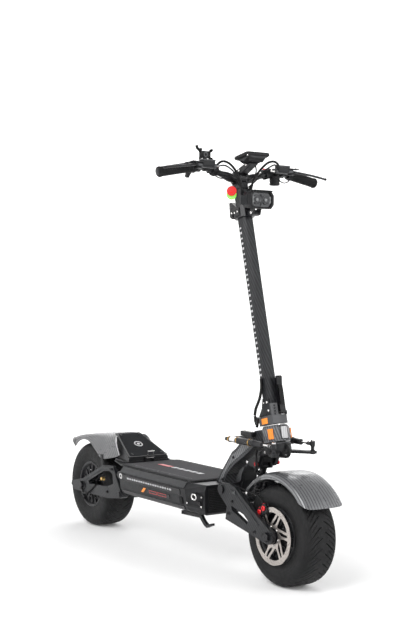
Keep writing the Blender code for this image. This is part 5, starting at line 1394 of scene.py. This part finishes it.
def headlight():
    """Lamp shell with cooling fins, two lens cups, side beads, a brow and its tilting bracket."""
    at = Matrix.Translation(steered(0.079, 0, 0.804))
    corner = [(0.05, 0.016), (0.046, 0.0215), (0.04, 0.029), (0.034, 0.03)]
    face = [(-y, -z) for y, z in corner] + [(y, -z) for y, z in corner[::-1]]
    face += corner + [(-y, z) for y, z in corner[::-1]]
    shell = [(-0.026, 0.8), (-0.0235, 0.88), (-0.01, 0.93), (0.006, 0.975), (0.012, 1.0), (0.025, 1.0),
             (0.0295, 0.955), (0.03, 0.9), (0.0285, 0.82), (0.0215, 0.78)]
    put("headlight_body", loft([[(x, y * g, z * g) for y, z in face] for x, g in shell], at), PLASTIC, "lamp",
        ["headlight"], bevel=0.0005)
    put("headlight_mirror", loft([[(x, y * g, z * g) for y, z in face]
                                  for x, g in ((0.021, 0.775), (0.0222, 0.765))], at), GREY_METAL, "lamp")
    cups, beads = [], []
    for y in (-0.018, 0.018):
        here = at @ Matrix.Translation((0.0222, y, 0)) @ Matrix.Rotation(pi / 2, 4, "Y")
        cups.append(turned([(0.0062, 0.0), (0.0135, 0.0), (0.0155, 0.0045), (0.0145, 0.0048), (0.01, 0.0018),
                            (0.0062, 0.0008)], 40, here))
        beads.append(turned([(0, 0.0), (0.006, 0.0), (0.0058, 0.0022), (0.0045, 0.004), (0.0022, 0.005),
                             (0, 0.0053)], 32, here))
    cups.append(loft([[(x, y, z) for y, z in rounded(0.0032, 0.04, 0.0012)] for x in (0.0222, 0.0262)], at))
    for y in (-0.034, 0.034):
        beads.append(loft([[(x, y + yy, z) for yy, z in rounded(0.007, 0.022, 0.003)]
                           for x in (0.022, 0.025)], at))
    put("headlight_cups", merged(*cups), GREY_METAL, "lamp", smooth=40)
    put("headlight_lenses", merged(*beads), LAMP_LENS, "lamp", smooth=40)
    fins = []
    for k in range(6):
        x = -0.023 + 0.0062 * k
        grow = 0.84 + 0.024 * k
        for s in (-1, 1):
            y0, y1 = s * 0.05 * (grow - 0.05), s * 0.0525
            fins.append(loft([[(x + dx, y, z) for y, z in ((y0, -0.0205 * grow), (y1, -0.015), (y1, 0.015),
                    (y0, 0.0205 * grow))] for dx in (0, 0.0026)], at))
    for k in range(5):
        x = -0.021 + 0.0064 * k
        fins.append(loft([[(x + dx, y, z) for y, z in ((-0.032, 0.024), (-0.03, 0.0305), (0.03, 0.0305),
                (0.032, 0.024))] for dx in (0, 0.0024)], at))
    put("headlight_fins", merged(*fins), FRAME_GREY, "lamp", bevel=0.0003, segments=1)
    brow = loft([[(x, y, z) for y, z in ((-0.042, 0.027), (-0.036, 0.0318), (0.036, 0.0318), (0.042, 0.027),
            (0.036, 0.029), (-0.036, 0.029))] for x in (0.008, 0.033)], at)
    put("headlight_brow", brow, GLOSS, "lamp", bevel=0.0006)
    tilt = steered(0.06, 0, 0.766)
    cheek = [(-0.009, -0.007), (-0.002, -0.01), (0.008, -0.007), (0.015, 0.018), (0.015, 0.025),
             (-0.008, 0.025)]
    cheeks = [prism([(tilt.x + x, tilt.z + z) for x, z in cheek], s * 0.0106, s * 0.016) for s in (-1, 1)]
    put("headlight_bracket", merged(*cheeks), ANODISED, "lamp", bevel=0.001)
    bolt_heads("headlight_bolts", CHROME, "lamp",
               [((tilt.x, s * 0.016, tilt.z), (0, s, 0), 0.0048, 0.0036) for s in (-1, 1)]
               + [(at @ Vector((0.0, s * 0.0445, -0.001)), (0, s, 0), 0.003, 0.005, 20) for s in (-1, 1)])


def phone_holder():
    """Strap on the bar, turning post, back plate, four claws and the lever."""
    base = bar_point(PHONE_Y) + Vector((0, 0, 0.0175))
    at = Matrix.Translation(base)
    put("phone_strap", ring_on_bar(PHONE_Y, 0.014, 0.0142), PLASTIC, "stem")
    put("phone_strap_pad", block(base + Vector((0, 0, -0.0035)), (0.018, 0.014, 0.006)), PLASTIC, "stem",
        bevel=0.0012)
    post = turned([(0, 0.0004), (0.009, 0.0004), (0.0096, 0.002), (0.0096, 0.005), (0.007, 0.0066),
                   (0.0062, 0.009), (0.0078, 0.011), (0.0078, 0.014), (0, 0.015)], 40, at)
    put("phone_holder_post", post, ANODISED, "phone_holder", ["phone_clip"])
    back = loft([[(x, y * g, 0.024 + z * g) for y, z in rounded(0.044, 0.024, 0.006)]
                 for x, g in ((-0.0045, 0.9), (-0.003, 1.0), (0.002, 1.0), (0.0035, 0.9))], at)
    put("phone_holder_plate", back, PLASTIC, "phone_holder", bevel=0.0004)
    claws = [tube(smooth_route([(base.x + x, base.y + sy * y, base.z + 0.024 + sz * z)
                                for x, y, z in ((0.0, 0.014, 0.006), (0.002, 0.021, 0.013),
            (0.007, 0.0225, 0.0155), (0.01, 0.019, 0.0135))], 0.002), 0.0046, 14) for sy in (-1, 1)
             for sz in (-1, 1)]
    put("phone_holder_claws", merged(*claws), SOFT, "phone_holder")
    ring = turned([(0.005, 0), (0.008, 0), (0.008, 0.002), (0.005, 0.002)], 32,
                  at @ Matrix.Translation((0.0034, 0, 0.024)) @ Matrix.Rotation(pi / 2, 4, "Y"))
    put("phone_holder_ring", ring, GREY_METAL, "phone_holder")
    lever = [base + Vector((0.002, y, z))
             for y, z in ((-0.017, 0.029), (-0.025, 0.038), (-0.033, 0.044), (-0.035, 0.053))]
    put("phone_holder_lever", tube(smooth_route(lever, 0.002), 0.0046, 14), SOFT, "phone_holder")


def tags():
    """Two round key tags on a cord below the bar."""
    facing_out = Vector((0.8, -0.6, 0.05)).normalized()
    for name, look, at, turn in (("red", TAG_RED, (BAR_X + 0.02, -0.048, 1.281), 0.0),
                                 ("green", TAG_GREEN, (BAR_X + 0.016, -0.045, 1.269), 0.4)):
        place = facing(at, facing_out) @ Matrix.Rotation(turn, 4, "Z")
        disc = turned([(0, 0), (0.0155, 0), (0.0165, 0.0006), (0.0165, 0.0018), (0.0155, 0.0024),
                       (0, 0.0024)], 48, place)
        put(f"{name}_tag", disc, look, "stem")
        marks = [turned([(0.0105, 0.0022), (0.012, 0.0022), (0.012, 0.0028), (0.0105, 0.0028)], 48, place),
                 block((0, 0, 0.0025), (0.01, 0.0016, 0.0006), place),
                 block((0, 0.0045, 0.0025), (0.007, 0.0014, 0.0006), place)]
        put(f"{name}_tag_marks", merged(*marks), RED_PRINT if name == "red" else PALE, "stem")
    cord = smooth_route([(BAR_X + 0.0195, -0.047, 1.296), (BAR_X + 0.019, -0.04, 1.308),
                         (BAR_X + 0.013, -0.033, 1.313), (BAR_X + 0.006, -0.029, 1.311)], 0.003)
    put("tag_cord", tube(cord, 0.0013, 10), SOFT, "stem")


def hoses():
    """Brake hoses, wires and looms; the looms beside the fold clamp are split at its pin."""
    for name, radius, route in (("right_brake_hose", 0.0026,
                                 ((0.0325, -0.11, 1.3605), (0.04, -0.088, 1.362), (0.044, -0.056, 1.342),
                                  (0.038, -0.03, 1.308), (0.037, -0.014, 1.285), (0.037, -0.008, 1.27))),
                                ("right_switch_wire", 0.002, ((-0.004, -0.12, 1.35), (0.004, -0.1, 1.328),
            (0.016, -0.082, 1.322), (0.02, -0.06, 1.333), (0.026, -0.038, 1.318), (0.035, -0.018, 1.29))),
                                ("left_gear_hose", 0.004, ((0.033, 0.15, 1.364), (0.048, 0.118, 1.386),
            (0.05, 0.086, 1.384), (0.046, 0.056, 1.36), (0.04, 0.03, 1.322), (0.038, 0.02, 1.288),
            (0.034, 0.018, 1.27))), ("right_gear_hose", 0.004,
            ((0.03, -0.124, 1.356), (0.033, -0.1, 1.376), (0.036, -0.072, 1.372), (0.038, -0.045, 1.348),
             (0.039, -0.028, 1.316), (0.038, -0.02, 1.286), (0.034, -0.018, 1.27))),
                                ("right_loop_wire", 0.0018, ((0.033, -0.158, 1.35), (0.03, -0.145, 1.332),
            (0.026, -0.124, 1.327), (0.023, -0.108, 1.338), (0.02, -0.092, 1.342))),
                                ("left_switch_wire", 0.0022, ((-0.006, 0.116, 1.342), (0.004, 0.1, 1.33),
            (0.016, 0.076, 1.342), (0.026, 0.048, 1.336), (0.034, 0.024, 1.302), (0.037, 0.01, 1.28))),
                                ("left_loop_wire", 0.0018, ((0.034, 0.2, 1.348), (0.032, 0.185, 1.326),
            (0.028, 0.165, 1.32), (0.023, 0.145, 1.333), (0.021, 0.125, 1.343)))):
        hose(name, "stem", radius, *[(BAR_X + x, y, z) for x, y, z in route])
    hose("display_wire", "stem", 0.0022, (0.376, 0.008, 1.373), (0.374, 0.016, 1.35), (0.356, 0.02, 1.318),
         (0.34, 0.014, 1.292), (0.332, 0.008, 1.28))
    hose("lamp_wire", "stem", 0.0018, (0.378, 0.016, 1.254), (0.364, 0.02, 1.272), (0.35, 0.016, 1.28),
         (0.338, 0.008, 1.276))
    for side, name, radius, ahead in ((-1, "fold_loom", 0.0048, 0.01), (1, "fold_loom_left", 0.0034, 0.0)):
        upper, lower = [[steered(u + ahead, side * y, w) for u, y, w in rows]
                        for rows in (((-0.012, 0.0262, 0.215), (-0.016, 0.0268, 0.185), (-0.026, 0.033, 0.15),
                (-0.04, 0.043, 0.12), (-0.044, 0.048, 0.098)), ((-0.044, 0.048, 0.096), (-0.04, 0.05, 0.07)))]
        hose(f"{name}_upper", "stem", radius, *upper)
        hose(f"{name}_lower", "steered_fork", radius, *lower, (0.49, side * 0.052, 0.525),
             (0.485, side * 0.052, 0.5))
    hose("neck_hose", "steered_fork", 0.0046, (0.484, -0.05, 0.425), (0.48, -0.052, 0.412),
         (0.487, -0.0545, 0.396), (0.488, -0.054, 0.374), (0.48, -0.05, 0.354))
    hose("front_loop", "steered_fork", 0.0052, (0.566, 0.0, 0.448), (0.586, 0.0, 0.442), (0.593, 0.0, 0.428),
         (0.584, 0.0, 0.413), (0.56, -0.002, 0.41), (0.52, -0.006, 0.408))
    hose("front_brake_hose", "front_arm", 0.0026, (0.549, -0.0672, 0.256), (0.532, -0.07, 0.276),
         (0.498, -0.074, 0.288), (0.45, -0.074, 0.292), (0.4, -0.074, 0.298), (0.375, -0.07, 0.296))
    hose("rear_brake_hose", "rear_arm", 0.0026, (-0.5555, 0.068, 0.259), (-0.528, 0.07, 0.27),
         (-0.48, 0.072, 0.272), (-0.425, 0.07, 0.27), (-0.385, 0.064, 0.248), (-0.35, 0.06, 0.218))
    for end, s in (("front", 1), ("rear", -1)):
        hose(f"{end}_motor_lead", f"{end}_arm", 0.0034,
             *[(s * x, s * y, z) for x, y, z in ((0.6, 0.099, 0.15), (0.58, 0.104, 0.138),
                (0.55, 0.103, 0.142), (0.52, 0.099, 0.162), (0.495, 0.097, 0.18))])


stem_details()
handlebar()
brake_controls()
switches()
display()
headlight()
phone_holder()
tags()
hoses()


# ---------------------------------------------------------------- studio
def studio():
    """Camera at the front right, a white bowl for floor and backdrop, soft lights."""
    scene = bpy.context.scene
    lens = bpy.data.cameras.new("camera")
    lens.lens = 71.07
    lens.sensor_width = 36.0
    camera = linked("camera", lens)
    look = Vector((-0.8217, 0.5696, -0.0193)).normalized()
    side = Vector((0.56948, 0.82193, 0.01119))
    side = (side - look * side.dot(look)).normalized()
    up = side.cross(look)
    turn = Matrix((side, up, -look)).transposed().to_4x4()
    camera.matrix_world = Matrix.Translation((3.6961, -2.4775, 0.9528)) @ turn
    scene.camera = camera

    # A floor that runs up into a round backdrop
    edge = [(1.5, 0), (3.0, 0), (5.0, 0), (7.0, 0)]
    edge += [(7.0 + 3.0 * sin(radians(15 * k)), 3.0 - 3.0 * cos(radians(15 * k)))
             for k in range(1, 7)] + [(10.0, 10.0)]
    bm = bmesh.new()
    rings = [[bm.verts.new((x, y, z - 0.0005)) for x, y in circle(0, 0, r, 96)] for r, z in edge]
    bm.faces.new(rings[0])
    for a, b in zip(rings, rings[1:]):
        for k in range(96):
            bm.faces.new((a[k], b[k], b[(k + 1) % 96], a[(k + 1) % 96]))
    backdrop = mesh_of("floor", bm)
    backdrop.shade_smooth()
    floor = linked("floor", backdrop)
    paper = Look("floor_paper", (0.93, 0.93, 0.93), 0.9, Specular_IOR_Level=0.1)
    paper.set("Base Color", paper.ramp(paper.noise(3.0), (0.3, (0.925, 0.925, 0.925)),
            (0.7, (0.935, 0.935, 0.935))))
    x, y, _ = paper.axes()
    paper.set("Emission Color", (1.0, 1.0, 1.0, 1.0))
    paper.set("Emission Strength", paper.span(paper.length(x, y), 1.2, 5.0, 0.05, 0.46))
    backdrop.materials.append(paper.material)

    world = bpy.data.worlds.new("studio")
    world.use_nodes = True
    world.node_tree.nodes["Background"].inputs["Color"].default_value = (1.0, 1.0, 1.0, 1.0)
    world.node_tree.nodes["Background"].inputs["Strength"].default_value = 0.34
    scene.world = world
    for name, at, aim, size, power in (("key", (1.6, -3.2, 3.4), (0, 0, 0.5), 2.2, 105.0),
            ("front", (4.0, 1.6, 2.4), (0.3, 0, 0.5), 1.6, 34.0),
            ("back", (-2.8, 2.2, 3.0), (0, 0, 0.4), 2.2, 55.0)):
        lamp = bpy.data.lights.new(name, "AREA")
        lamp.shape = "SQUARE"
        lamp.size = size
        lamp.energy = power
        obj = linked(name, lamp)
        obj.location = at
        obj.rotation_mode = "QUATERNION"
        obj.rotation_quaternion = (Vector(aim) - Vector(at)).to_track_quat("-Z", "Y")
    scene.view_settings.view_transform = "Standard"


studio()
